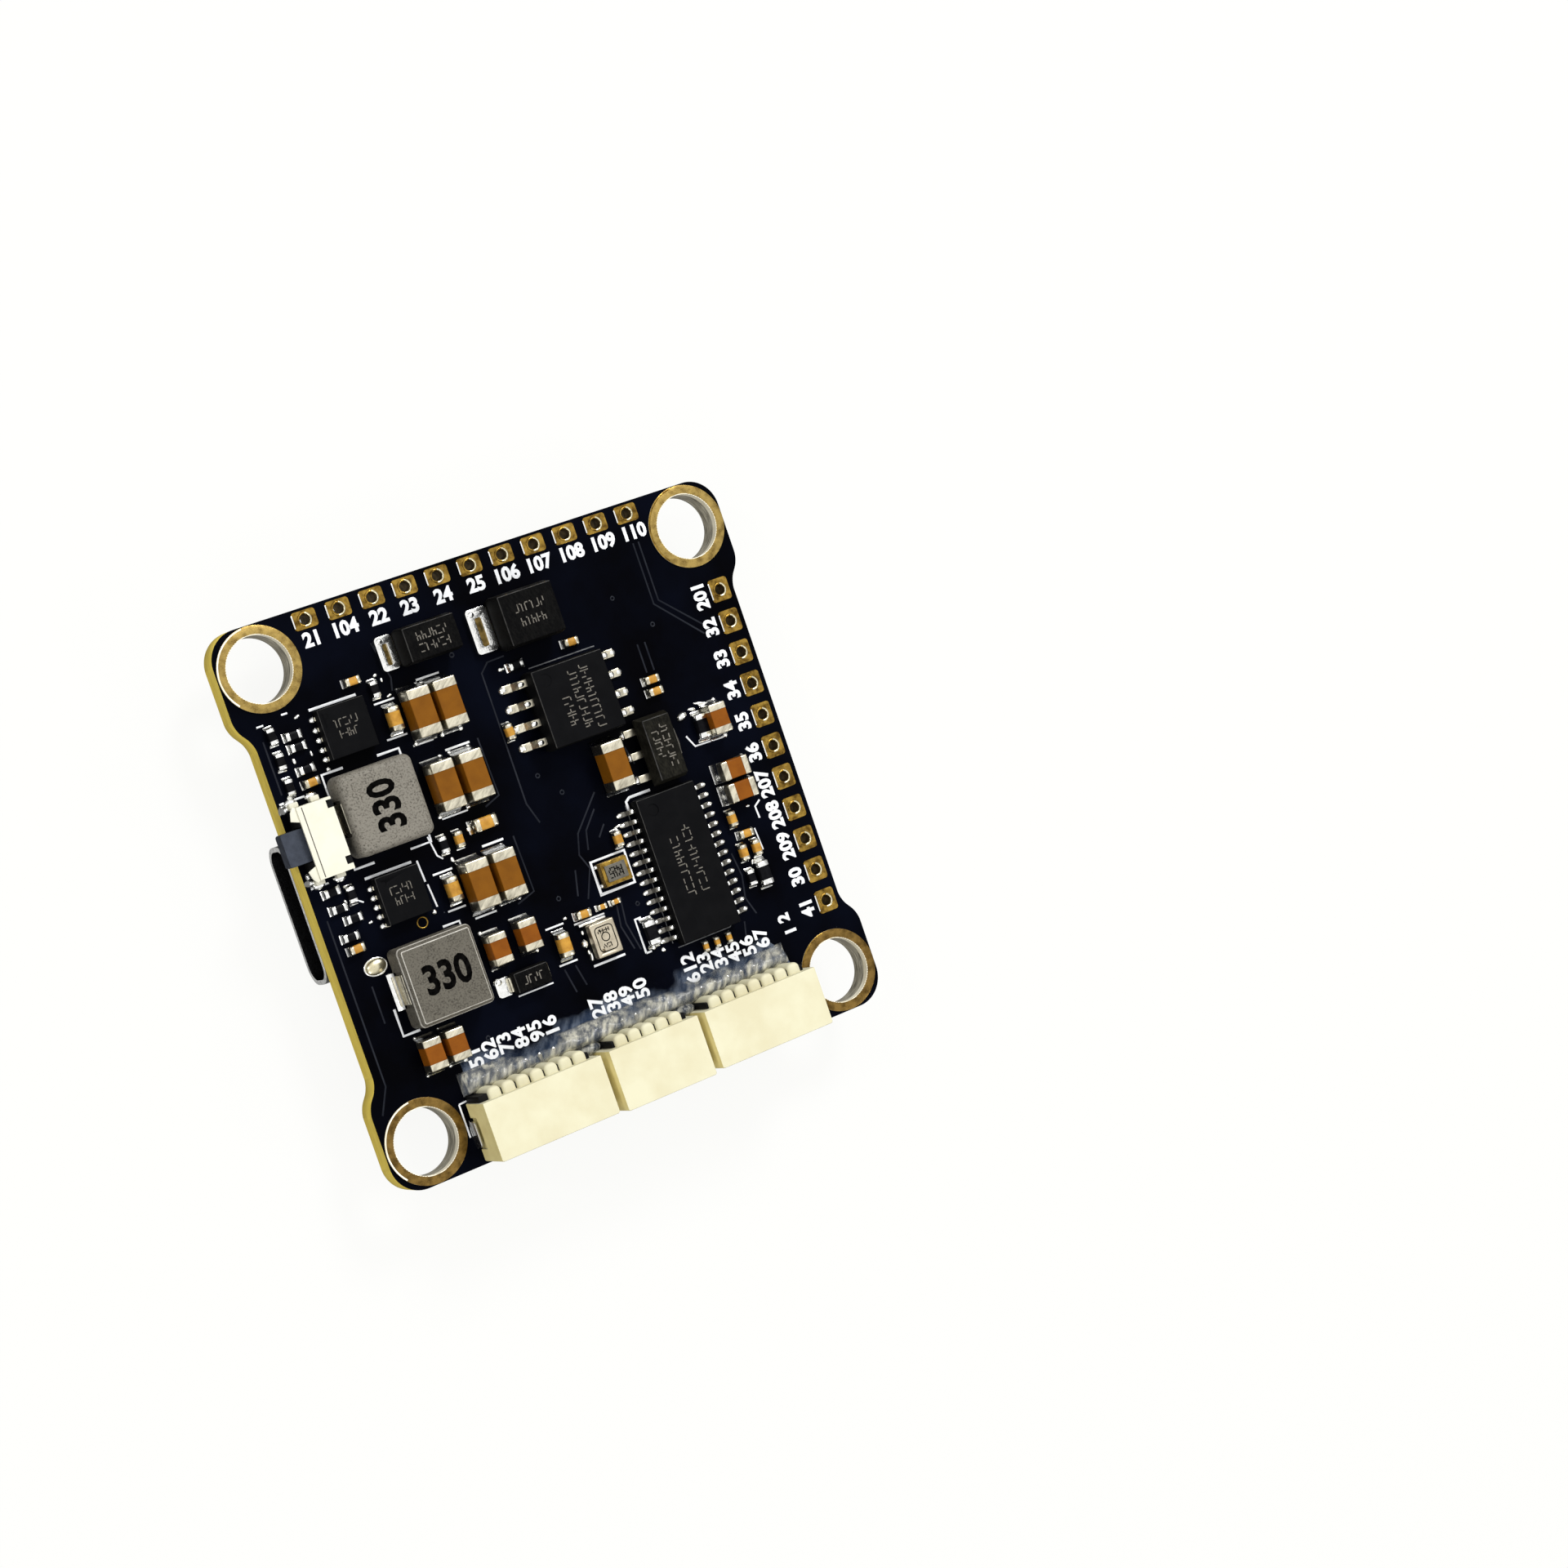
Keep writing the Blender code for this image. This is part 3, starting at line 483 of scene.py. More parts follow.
def choose(piece, kind, test):
    # goes into edit mode with what the test accepts selected; places are given to the test in mm
    pickOnly(piece)
    bpy.ops.object.mode_set(mode="EDIT")
    bpy.ops.mesh.select_mode(type=kind)
    bpy.ops.mesh.select_all(action="DESELECT")
    bpy.ops.object.mode_set(mode="OBJECT")
    points = piece.data.vertices
    if kind == "FACE":
        for face in piece.data.polygons:
            face.select = test(face.center / mm, face.normal)
    elif kind == "EDGE":
        for edge in piece.data.edges:
            first, second = (points[index].co / mm for index in edge.vertices)
            edge.select = test((first + second) / 2, (second - first).normalized())
    else:
        for point in points:
            point.select = test(point.co / mm)
    bpy.ops.object.mode_set(mode="EDIT")


def leave():
    bpy.ops.object.mode_set(mode="OBJECT")


def moveChosen(move):
    bpy.ops.transform.translate(value=Vector(move) * mm)
    leave()


def swellChosen(distance):
    # new faces drawn out along their normals, or in where the distance is negative
    bpy.ops.mesh.extrude_region_shrink_fatten(TRANSFORM_OT_shrink_fatten={"value": distance * mm})
    leave()


def resizeChosen(size, centre):
    bpy.ops.transform.resize(value=size, center_override=Vector(centre) * mm)
    leave()


def bevelChosen(width, steps):
    bpy.ops.mesh.bevel(offset=width * mm, segments=steps, affect="EDGES")
    leave()


def everything(middle, direction):
    return True


def upright(middle, along):
    return abs(along.z) > 0.9


def slicePiece(piece, point, normal, **settings):
    choose(piece, "FACE", everything)
    bpy.ops.mesh.bisect(plane_co=Vector(point) * mm, plane_no=normal, threshold=nearlyNothing, **settings)
    leave()


def useModifier(piece, kind, **settings):
    pickOnly(piece)
    modifier = piece.modifiers.new(kind.lower(), kind)
    for setting, value in settings.items():
        setattr(modifier, setting, value)
    bpy.ops.object.modifier_apply(modifier=modifier.name)
    return piece


def smooth(piece, angle=40):
    pickOnly(piece)
    bpy.ops.object.shade_smooth_by_angle(angle=math.radians(angle))
    return useModifier(piece, "WEIGHTED_NORMAL", keep_sharp=True)


def roundAll(piece, width, steps=2, angle=30):
    useModifier(piece, "BEVEL", width=width * mm, segments=steps, angle_limit=math.radians(angle))
    return smooth(piece)


def slab(name, low, high, finish, width, steps=2):
    # a block with its edges rounded
    return roundAll(block(name, low, high, finish), width, steps)


def cutAway(piece, cutter, operation="DIFFERENCE"):
    useModifier(piece, "BOOLEAN", operation=operation, solver="EXACT", object=cutter)
    bpy.data.objects.remove(cutter, do_unlink=True)


def paintWhere(piece, finish, test):
    piece.data.materials.append(paints[finish])
    index = len(piece.data.materials) - 1
    for face in piece.data.polygons:
        if test(face.center / mm, face.normal):
            face.material_index = index


def copyAt(piece, x, y, z, turn=0.0, size=(1, 1, 1)):
    twin = piece.copy()
    twin.data = piece.data.copy()
    bpy.context.scene.collection.objects.link(twin)
    spin = Matrix.Rotation(math.radians(turn), 4, "Z")
    twin.data.transform(Matrix.Translation(Vector((x, y, z)) * mm) @ spin @ Matrix.Diagonal((*size, 1)))
    return twin


def discard(*unwanted):
    for piece in unwanted:
        bpy.data.objects.remove(piece, do_unlink=True)


def stamped(pattern, places):
    # one copy at each place, and the pattern is gone
    twins = [copyAt(pattern, *place) for place in places]
    discard(pattern)
    return twins


def evenly(count, pitch, middle=0.0):
    return [middle + (index - (count - 1) / 2) * pitch for index in range(count)]


def plainName(node):
    # the piece that stands for a node, such as wireSocketLeft for wire_socket_left
    first, *rest = node.split("_")
    return first + "".join(word.capitalize() for word in rest)


def joined(name, parts):
    pickOnly(*parts)
    if len(parts) > 1:
        bpy.ops.object.join()
    piece = bpy.context.object
    piece.name = name
    piece.data.name = name
    return piece


def keep(piece, nodes=(), body="board"):
    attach(piece, body)
    if nodes:
        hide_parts(*nodes)
    return piece


standing = {  # how a flat outline is turned so that its thickness runs along an axis
    "X": Matrix(((0, 0, 1, 0), (1, 0, 0, 0), (0, 1, 0, 0), (0, 0, 0, 1))),
    "Y": Matrix(((1, 0, 0, 0), (0, 0, -1, 0), (0, 1, 0, 0), (0, 0, 0, 1))),
    "Z": Matrix.Identity(4),
}


def plate(name, outlines, low, high, finish, along="Z"):
    # a filled flat curve given thickness from low to high; later outlines are holes in the first
    curve = bpy.data.curves.new(name, "CURVE")
    curve.dimensions = "2D"
    curve.fill_mode = "BOTH"
    curve.extrude = (high - low) / 2 * mm
    for outline in outlines:
        spline = curve.splines.new("POLY")
        spline.points.add(len(outline) - 1)
        for knot, (u, v) in zip(spline.points, outline):
            knot.co = (u * mm, v * mm, 0.0, 1.0)
        spline.use_cyclic_u = True
    piece = bpy.data.objects.new(name, curve)
    bpy.context.scene.collection.objects.link(piece)
    pickOnly(piece)
    bpy.ops.object.convert(target="MESH")
    piece = settle(name, finish)
    middle = (low + high) / 2 * mm * (-1 if along == "Y" else 1)
    piece.data.transform(standing[along] @ Matrix.Translation((0, 0, middle)))
    choose(piece, "FACE", everything)
    bpy.ops.mesh.remove_doubles(threshold=nearlyNothing)
    bpy.ops.mesh.normals_make_consistent(inside=False)
    leave()
    return piece


def line(points, width, base, finish, height=0.03, closed=False):
    # a slightly domed printed or plated line
    curve = bpy.data.curves.new("line", "CURVE")
    curve.dimensions = "3D"
    curve.bevel_depth = width / 2 * mm
    curve.bevel_resolution = 1
    curve.use_fill_caps = True
    spline = curve.splines.new("POLY")
    spline.points.add(len(points) - 1)
    for knot, (x, y) in zip(spline.points, points):
        knot.co = (x * mm, y * mm, 0.0, 1.0)
    spline.use_cyclic_u = closed
    piece = bpy.data.objects.new("line", curve)
    bpy.context.scene.collection.objects.link(piece)
    pickOnly(piece)
    bpy.ops.object.convert(target="MESH")
    piece = settle("line", finish)
    flat = Matrix.Diagonal((1, 1, 2 * height / width, 1))
    piece.data.transform(Matrix.Translation((0, 0, base * mm)) @ flat)
    pickOnly(piece)
    bpy.ops.object.shade_smooth_by_angle(angle=math.radians(60))
    return piece


def printed(text, size, x, y, base, turn, finish, weight=0.0, squeeze=1.0, rise=0.012):
    bpy.ops.object.text_add(
        location=Vector((x, y, base)) * mm, rotation=(0, 0, math.radians(turn)))
    words = bpy.context.object
    words.data.body = text
    words.data.size = size * mm
    words.data.align_x = "CENTER"
    words.data.align_y = "CENTER"
    words.data.extrude = rise * mm
    words.data.offset = weight * mm
    words.data.resolution_u = 3
    bpy.ops.object.convert(target="MESH")
    return settle("printed", finish, (squeeze, 1, 1))


def blob(x, y, base, radii, finish, around=12, rings=8, turn=0.0):
    # half an ellipsoid with a flat closed base, for solder and other drops
    bpy.ops.mesh.primitive_uv_sphere_add(
        segments=around, ring_count=rings, radius=mm, location=Vector((x, y, base)) * mm,
        rotation=(0, 0, math.radians(turn)))
    piece = settle("blob", finish, radii)
    slicePiece(piece, (0, 0, base), (0, 0, 1), clear_inner=True, use_fill=True)
    return smooth(piece, 50)


def circlePoints(x, y, radius, steps):
    turns = [2 * math.pi * step / steps for step in range(steps)]
    return [(x + radius * math.cos(turn), y + radius * math.sin(turn)) for turn in turns]


def roundedRectangle(x, y, width, depth, radius, steps=6):
    points = []
    for index, (sx, sy) in enumerate(((1, 1), (-1, 1), (-1, -1), (1, -1))):
        cx, cy = x + sx * (width / 2 - radius), y + sy * (depth / 2 - radius)
        for step in range(steps + 1):
            turn = math.radians(90 * (index + step / steps))
            points.append((cx + radius * math.cos(turn), cy + radius * math.sin(turn)))
    return points


# The board, its wire pads and the platings of its corner holes

boardShape = {
    "corner": 2.0, "cornerSteps": 18, "recess": 0.9, "recessFrom": 12.2, "recessTo": 11.0,
    "recessRound": 0.55, "recessSteps": 8, "holeRadius": 2.17, "holeSquare": 30.5, "rim": 0.04,
    "near": 0.1,  # how close counts as on an edge
}
drill = {"length": 9, "holeSteps": 72, "padSteps": 24, "padRoom": 0.05}
padShape = {
    "count": 11, "rowY": 17.25, "rowPitch": 2.29, "columnX": 16.06, "columnPitch": 2.14,
    "rowSize": (1.60, 1.16), "columnSize": (1.42, 1.52), "holeRadius": 0.35, "thick": 0.05,
    "round": 0.20, "lip": 0.072, "lipHeight": 0.06, "lipOut": 0.055, "shine": (-100, 75), "steps": 24,
    "lift": 0.005, "barrelWall": 0.05,
}
# the bright line of solder along each pad's left side: how far it hangs over, its width and height
padRim = {"out": 0.03, "width": 0.10, "share": 0.36, "from": 0.01, "to": 0.09}
ringShape = {"bore": 2.10, "wall": 0.06, "sleeve": 0.05, "steps": 80, "round": 0.02, "highlightBand": 0.50,
             "rimFrom": 96, "rimTo": 222, "rimStep": 6, "rimWidth": 0.13}
rowPlaces = [(x, padShape["rowY"]) for x in evenly(padShape["count"], padShape["rowPitch"])]
columnPlaces = [(padShape["columnX"], y) for y in evenly(padShape["count"], -padShape["columnPitch"])]
holePlaces = {
    "hole_plating_back_left": (-1, 1), "hole_plating_back_right": (1, 1),
    "hole_plating_front_left": (-1, -1), "hole_plating_front_right": (1, -1),
}


def makeBoard():
    shape = boardShape
    half, near = boardHigh.x, shape["near"]
    board = block("circuitBoard", boardLow, boardHigh, "laminate")
    for y in (shape["recessFrom"], shape["recessTo"], -shape["recessTo"], -shape["recessFrom"]):
        slicePiece(board, (0, y, 0), (0, 1, 0))
    for side in (-1, 1):
        choose(board, "VERT", lambda point: point.x * side > half - near
               and abs(point.y) < shape["recessTo"] + near)
        moveChosen((-side * shape["recess"], 0, 0))
    choose(board, "EDGE", lambda middle, along: upright(middle, along) and abs(middle.y) > half - near)
    bevelChosen(shape["corner"], shape["cornerSteps"])
    choose(board, "EDGE", lambda middle, along: upright(middle, along)
           and shape["recessTo"] - near < abs(middle.y) < shape["recessFrom"] + near)
    bevelChosen(shape["recessRound"], shape["recessSteps"])
    middle = (topFace + underFace) / 2
    drills = []
    for sx, sy in holePlaces.values():
        x, y = sx * shape["holeSquare"] / 2, sy * shape["holeSquare"] / 2
        drills.append(disc("drill", (x, y, middle), shape["holeRadius"], drill["length"], "laminate",
                           drill["holeSteps"]))
    for x, y in rowPlaces + columnPlaces:
        drills.append(disc("drill", (x, y, middle), padShape["holeRadius"] + drill["padRoom"],
                           drill["length"], "laminate", drill["padSteps"]))
    cutAway(board, joined("drills", drills))
    roundAll(board, shape["rim"], 2, 60)
    paintWhere(board, "solderMask", lambda centre, facing: abs(facing.z) > 0.3)
    keep(board, ["circuit_board"])


def makePad(size):
    # a plate on each face round a plated barrel, with a raised lip
    thick, radius, steps, lift = (padShape[key] for key in ("thick", "holeRadius", "steps", "lift"))
    parts = []
    for level in (topFace + lift, underFace - lift - thick):
        outlines = [roundedRectangle(0, 0, *size, padShape["round"], 4), circlePoints(0, 0, radius, steps)]
        face = plate("padFace", outlines, level, level + thick, "gold")
        parts.append(roundAll(face, 0.015, 1, 50))
    barrel = disc("barrel", (0, 0, (topFace + underFace) / 2), radius + 0.03,
                  topFace - underFace + thick, "goldDark", steps, "NOTHING")
    useModifier(barrel, "SOLIDIFY", thickness=padShape["barrelWall"] * mm, offset=-1)
    parts.append(smooth(barrel))
    for level in (topFace + thick, underFace - thick):
        bpy.ops.mesh.primitive_torus_add(
            major_radius=(radius + padShape["lipOut"]) * mm, minor_radius=padShape["lip"] * mm,
            major_segments=steps, minor_segments=8, location=(0, 0, 0))
        lip = settle("lip", "gold")
        lip.data.transform(Matrix.Translation((0, 0, level * mm)) @ Matrix.Diagonal(
            (1.0, 1.0, padShape["lipHeight"] / padShape["lip"], 1)))
        # the lip's arc given by shine is a painted highlight in pale gold; the rest stays gold
        low, high = padShape["shine"]
        paintWhere(lip, "paleGoldAndPaintedHighlight",
                   lambda centre, facing: low < math.degrees(math.atan2(centre.y, centre.x)) < high)
        pickOnly(lip)
        bpy.ops.object.shade_smooth()
        parts.append(lip)
    return joined("padPattern", parts)


def makePads():
    for name, size, places in (("topRowPads", padShape["rowSize"], rowPlaces),
                               ("rightColumnPads", padShape["columnSize"], columnPlaces)):
        pattern = makePad(size)
        left, reach = -size[0] / 2 - padRim["out"], size[1] * padRim["share"]
        rim = slab("rim", (left, -reach, topFace + padRim["from"]),
                   (left + padRim["width"], reach, topFace + padRim["to"]), "solder", 0.03)
        pattern = joined("padPattern", [pattern, rim])
        keep(joined(name, stamped(pattern, [(x, y, 0) for x, y in places])))


def makeHolePlating(node):
    # a sleeve whose top and bottom bands are drawn out into flanges over both faces
    low, high = nodeBox(node)
    centre = (low + high) / 2
    flange = (high.x - low.x) / 2
    bore, wall, steps = ringShape["bore"], ringShape["wall"], ringShape["steps"]
    sleeve = bore + ringShape["sleeve"]
    outlines = [circlePoints(centre.x, centre.y, radius, steps) for radius in (sleeve, bore)]
    face = "ringGold" if centre.y > 0 else "ringBrown"
    ring = plate(node.replace("hole_plating", "holePlating"), outlines, low.z, high.z, face)
    band = high.z - ringShape["highlightBand"]
    for level in (low.z + wall, band, high.z - wall):
        slicePiece(ring, (0, 0, level), (0, 0, 1))
    choose(ring, "FACE", lambda middle, facing: abs(facing.z) < 0.5
           and abs(middle.z - centre.z) > (high.z - low.z) / 2 - wall
           and (middle - centre).xy.length > (bore + sleeve) / 2)
    swellChosen(flange - sleeve)
    roundAll(ring, ringShape["round"], 2, 50)
    paintWhere(ring, "boreGold", lambda middle, facing: abs(facing.z) < 0.9
               and (middle - centre).xy.length < bore + 0.04)
    # the top band of the bore is painted pale as a highlight
    paintWhere(ring, "boreBright", lambda middle, facing: middle.z > band
               and (middle - centre).xy.length < bore + 0.035)
    paintWhere(ring, "boreGold", lambda middle, facing: abs(facing.z) < 0.9
               and (middle - centre).xy.length > flange - 0.03)
    # the far side of the ring catches the light along its rim: a raised line, painted as a highlight on the
    # left rings
    reach = flange - ringShape["rimWidth"] / 2
    turns = [math.radians(turn)
             for turn in range(ringShape["rimFrom"], ringShape["rimTo"] + 1, ringShape["rimStep"])]
    arc = [(centre.x + reach * math.cos(turn), centre.y + reach * math.sin(turn)) for turn in turns]
    rim = line(arc, ringShape["rimWidth"], high.z - 0.01, "boreBright" if centre.x < 0 else "gold", 0.03)
    keep(joined(ring.name, [ring, rim]), [node])


makeBoard()
makePads()
for node in holePlaces:
    makeHolePlating(node)
print("board, pads and hole platings made")


# Ceramic parts with tinned ends, and the solder that holds them

endFillet = {"rise": 0.5, "over": 0.04, "inside": 0.03}


def makeFillet(width, height, run):
    # a hollow-faced wedge of solder that climbs the end of a part lying along Y
    rise = height * endFillet["rise"]
    inside = -endFillet["inside"]
    section = [(inside, 0), (run, 0), (run * 0.55, rise * 0.16), (run * 0.2, rise * 0.5), (inside, rise)]
    half = width / 2 + endFillet["over"]
    wedge = plate("fillet", [section], -half, half, "solder", "X")
    return roundAll(wedge, min(0.03, height * 0.05), 1, 50)


def makeChipPart(size, cap, dip, body, steps=2, reach=0.26, ends="tin"):
    # lies along Y with its underside at zero; the body is a little thinner than the ends
    width, length, height = size
    inner = length / 2 - cap
    piece = block("chipPart", (-width / 2, -length / 2, 0), (width / 2, length / 2, height), body)
    useModifier(piece, "BEVEL", width=min(0.10, height * 0.12) * mm, segments=steps)
    for y in (inner, -inner):
        slicePiece(piece, (0, y, 0), (0, 1, 0))
    choose(piece, "FACE", lambda centre, facing: abs(centre.y) < inner - 0.01 and abs(facing.y) < 0.5)
    swellChosen(-dip)
    smooth(piece, 50)
    paintWhere(piece, ends, lambda centre, facing: abs(centre.y) > inner - 0.02)
    parts = [piece]
    for side, turn in ((1, 0), (-1, 180)):
        wedge = makeFillet(width, height, reach)
        wedge.data.transform(Matrix.Rotation(math.radians(turn), 4, "Z")
                             @ Matrix.Translation((0, length / 2 * mm, 0)))
        parts.append(wedge)
    return joined("chipPart", parts)


bigCapacitor = {"size": (1.55, 3.10, 1.60), "cap": 0.62, "dip": 0.035, "reach": 0.30}
midCapacitor = {"size": (1.25, 2.00, 1.25), "cap": 0.45, "dip": 0.030, "reach": 0.28}
capacitorsEach = 7
cornerBeads = {"count": 3, "aside": 0.42, "beyond": 0.2, "smallest": 0.12, "largest": 0.20, "height": 0.8}


def placeOnNodes(prefix, shape, body):
    pattern = makeChipPart(shape["size"], shape["cap"], shape["dip"], body, 3, shape["reach"])
    for number in range(1, capacitorsEach + 1):
        node = f"{prefix}_{number}"
        low, high = nodeBox(node)
        centre = (low + high) / 2
        turn = 90 if high.x - low.x > high.y - low.y else 0
        twin = copyAt(pattern, centre.x, centre.y, low.z, turn)
        twin.name = node.replace("_capacitor_", "Capacitor")
        # bright beads of solder at the ends' corners
        beads = []
        for _ in range(cornerBeads["count"]):
            end = random.choice((-1, 1))
            away = Vector((random.choice((-1, 1)) * shape["size"][0] * cornerBeads["aside"],
                           end * (shape["size"][1] / 2 + cornerBeads["beyond"]), 0))
            away.rotate(Matrix.Rotation(math.radians(turn), 3, "Z"))
            size = random.uniform(cornerBeads["smallest"], cornerBeads["largest"])
            beads.append(blob(centre.x + away.x, centre.y + away.y, topFace,
                              (size, size, size * cornerBeads["height"]), "solder"))
        keep(joined(twin.name, [twin] + beads), [node])
    discard(pattern)


placeOnNodes("large_capacitor", bigCapacitor, "bigCeramic")
placeOnNodes("medium_capacitor", midCapacitor, "midCeramic")
print("large and medium capacitors made")


# Small parts: X, Y, turn in degrees from lying along Y, and case

seat = 0.03  # small parts stand this far off the board, on their solder
smallDip = 0.015  # how far their bodies lie inside their ends
smallCases = {
    "wide": dict(size=(0.80, 1.60, 0.80), cap=0.36, reach=0.24),
    "slim": dict(size=(0.52, 1.02, 0.52), cap=0.24, reach=0.16),
    "tiny": dict(size=(0.34, 0.66, 0.34), cap=0.17, reach=0.10),
}
tanParts = [
    (-8.25, 9.75, 0, "wide"), (-8.30, -1.35, 0, "wide"), (-2.55, -7.10, 0, "wide"),
    (-10.00, 12.75, 90, "slim"), (-14.60, 7.75, 90, "slim"), (-4.90, 1.80, 90, "wide"),
    (-6.80, 1.40, 0, "slim"), (-15.40, -2.70, 90, "slim"), (-1.25, 6.60, 0, "slim"),
    (4.70, 10.65, 90, "slim"), (9.20, 6.70, 90, "slim"), (9.20, 5.90, 90, "slim"),
    (3.35, -2.10, 0, "slim"), (-0.60, -5.75, 90, "slim"), (0.80, -5.75, 90, "tiny"),
    (1.80, -5.75, 90, "tiny"), (11.40, -3.50, 0, "slim"), (12.00, -4.70, 90, "slim"),
    (11.40, -5.80, 0, "slim"), (12.40, -5.80, 0, "slim"), (6.75, -10.55, 0, "tiny"),
    (7.60, -10.55, 0, "tiny"), (8.50, -10.55, 0, "tiny"),
]
blackParts = [
    (-16.00, 11.15, 0, "slim"), (-16.00, 9.55, 0, "slim"), (-16.00, 7.90, 0, "slim"),
    (-14.70, 10.80, 90, "slim"), (-14.65, 10.05, 90, "slim"), (-14.60, 8.60, 90, "slim"),
    (-8.75, 11.85, 0, "slim"), (0.65, 10.40, 90, "slim"), (-7.85, 1.40, 0, "slim"),
    (-15.70, 1.05, 90, "slim"), (-14.55, 0.50, 0, "slim"), (-15.60, -0.05, 90, "slim"),
    (-14.90, -0.90, 90, "slim"), (-15.50, -1.90, 90, "slim"), (3.40, -8.40, 0, "wide"),
    (11.50, 2.80, 0, "wide"), (11.40, -7.50, 0, "slim"), (12.30, -7.50, 0, "wide"),
]


def makeSmallParts():
    for name, table, body, flatness, slotName in (
            ("smallCapacitors", tanParts, "smallCeramic", 1.0, "capacitor_ceramic"),
            ("smallResistors", blackParts, "resistorBlack", 0.75, "chip_moulding")):
        patterns = {}
        for case, look in smallCases.items():
            width, length, height = look["size"]
            size = (width, length, height * flatness)
            ends = "solder" if body == "resistorBlack" else "tin"
            patterns[case] = makeChipPart(size, look["cap"], smallDip, body, 1, look["reach"], ends)
        copies = [copyAt(patterns[case], x, y, topFace + seat, turn + random.uniform(-2, 2))
                  for x, y, turn, case in table]
        discard(*patterns.values())
        keep(joined(name, copies))


makeSmallParts()
print("small parts made")


# Moulded chips and their leads

leadLift = 0.01  # leads and straps stand this far off the board


def makeMoulding(node, taper, edge, parting=0.45, finish="mouldedBlack"):
    # sides that lean in both ways from a parting line, and painted highlights on the top edges of the dark
    # ones
    low, high = nodeBox(node)
    body = block(plainName(node), low, high, finish)
    middle = low.z + (high.z - low.z) * parting
    centre = (low + high) / 2
    slicePiece(body, (0, 0, middle), (0, 0, 1))
    size = high - low
    for level in (low.z, high.z):
        choose(body, "VERT", lambda point: abs(point.z - level) < 0.01)
        resizeChosen((1 - 2 * taper / size.x, 1 - 2 * taper / size.y, 1), (centre.x, centre.y, level))
    roundAll(body, edge, 3)
    if finish not in ("lidMetal", "lampResin"):
        # the top bevels facing -X or +Y are painted as highlights
        paintWhere(body, "paintedEdgeHighlight", lambda middle, facing: middle.z > high.z - edge
                   and 0.25 < facing.z < 0.92 and (facing.x < -0.3 or facing.y > 0.3))
    return body


def pressDimple(body, x, y, level, radius, depth, steps=32):
    cutAway(body, disc("dimple", (x, y, level), radius, 2 * depth, "mouldedBlack", steps))
    return smooth(body)


def makeLead(width, reach, top, thick, foot, slope, finish="tin"):
    # a gull wing that leaves the body along +X at the given height and ends flat on the board
    bend = reach - foot
    section = [
        (-0.12, top), (bend - slope, top), (bend, thick), (reach, thick), (reach, 0),
        (bend - thick * 0.7, 0), (bend - slope - thick * 0.7, top - thick), (-0.12, top - thick),
    ]
    lead = plate("lead", [section], -width / 2, width / 2, finish, "Y")
    return roundAll(lead, min(0.035, thick * 0.3), 1)


strokeShapes = [  # start and end of each stroke in a unit cell
    ((0, 0, 0, 1), (0, 1, 1, 1)), ((1, 0, 1, 1), (0, 0, 1, 0)), ((0, 0, 0, 0.45), (1, 0.55, 1, 1)),
    ((0, 0.5, 1, 0.5), (1, 0, 1, 1)), ((0, 0, 1, 0), (0, 1, 1, 1)), ((0, 0, 0, 1), (0.6, 0.5, 1, 0.5)),
    ((0.5, 0, 0.5, 1), (0, 1, 0.5, 1)), ((0, 0, 0, 1), (1, 0, 1, 0.4), (0, 0.5, 1, 0.5)),
]


def scribble(x, y, turn, count, pitch, tall, base, finish="laserGrey", thin=0.07):
    # a row of short strokes that reads as marking from afar and says nothing
    strokes = []
    for index in range(count):
        left = (index - count / 2) * pitch + random.uniform(-0.05, 0.05) * pitch
        for x0, y0, x1, y1 in random.choice(strokeShapes):
            low = (left + x0 * pitch * 0.55 - thin / 2, (y0 - 0.5) * tall - thin / 2, -0.004)
            high = (left + x1 * pitch * 0.55 + thin / 2, (y1 - 0.5) * tall + thin / 2, 0.010)
            strokes.append(block("stroke", low, high, finish))
    row = joined("marks", strokes)
    twin = copyAt(row, x, y, base, turn)
    discard(row)
    return twin


# dimple: how far in from the corner along X and Y, radius and depth; toe and heel: the X, height and radii
# of the solder on each lead; spots: Y of the leads; rows: X, Y and number of strokes, all from the middle
flashChip = {
    "taper": 0.10, "edge": 0.07, "parting": 0.42, "dimple": (0.85, 0.85, 0.42, 0.03),
    "width": 0.50, "reach": 1.42, "shoulder": 0.95, "thick": 0.22, "foot": 0.62, "slope": 0.22,
    "finish": "tin", "toe": (1.30, 0.0, (0.34, 0.30, 0.24)), "heel": (0.40, 0.89, (0.26, 0.20, 0.14)),
    "spots": (2.00, 0.70, -0.60, -1.85),
    "rows": ((0.95, -0.15, 11), (0.10, -0.10, 10), (-0.80, -0.65, 5)), "pitch": 0.38, "tall": 0.52,
}
overlayChip = {
    "taper": 0.08, "edge": 0.05, "parting": 0.5, "dimple": (1.0, 0.95, 0.40, 0.06),
    "width": 0.30, "reach": 1.00, "shoulder": 0.52, "thick": 0.14, "foot": 0.45, "slope": 0.18,
    "finish": "leadGrey", "toe": (0.90, 0.0, (0.27, 0.17, 0.17)), "heel": (0.16, 0.48, (0.17, 0.17, 0.12)),
    "spots": evenly(14, -0.65),
    "rows": ((0.50, 0.05, 10), (-0.50, -0.25, 9)), "pitch": 0.45, "tall": 0.50,
}


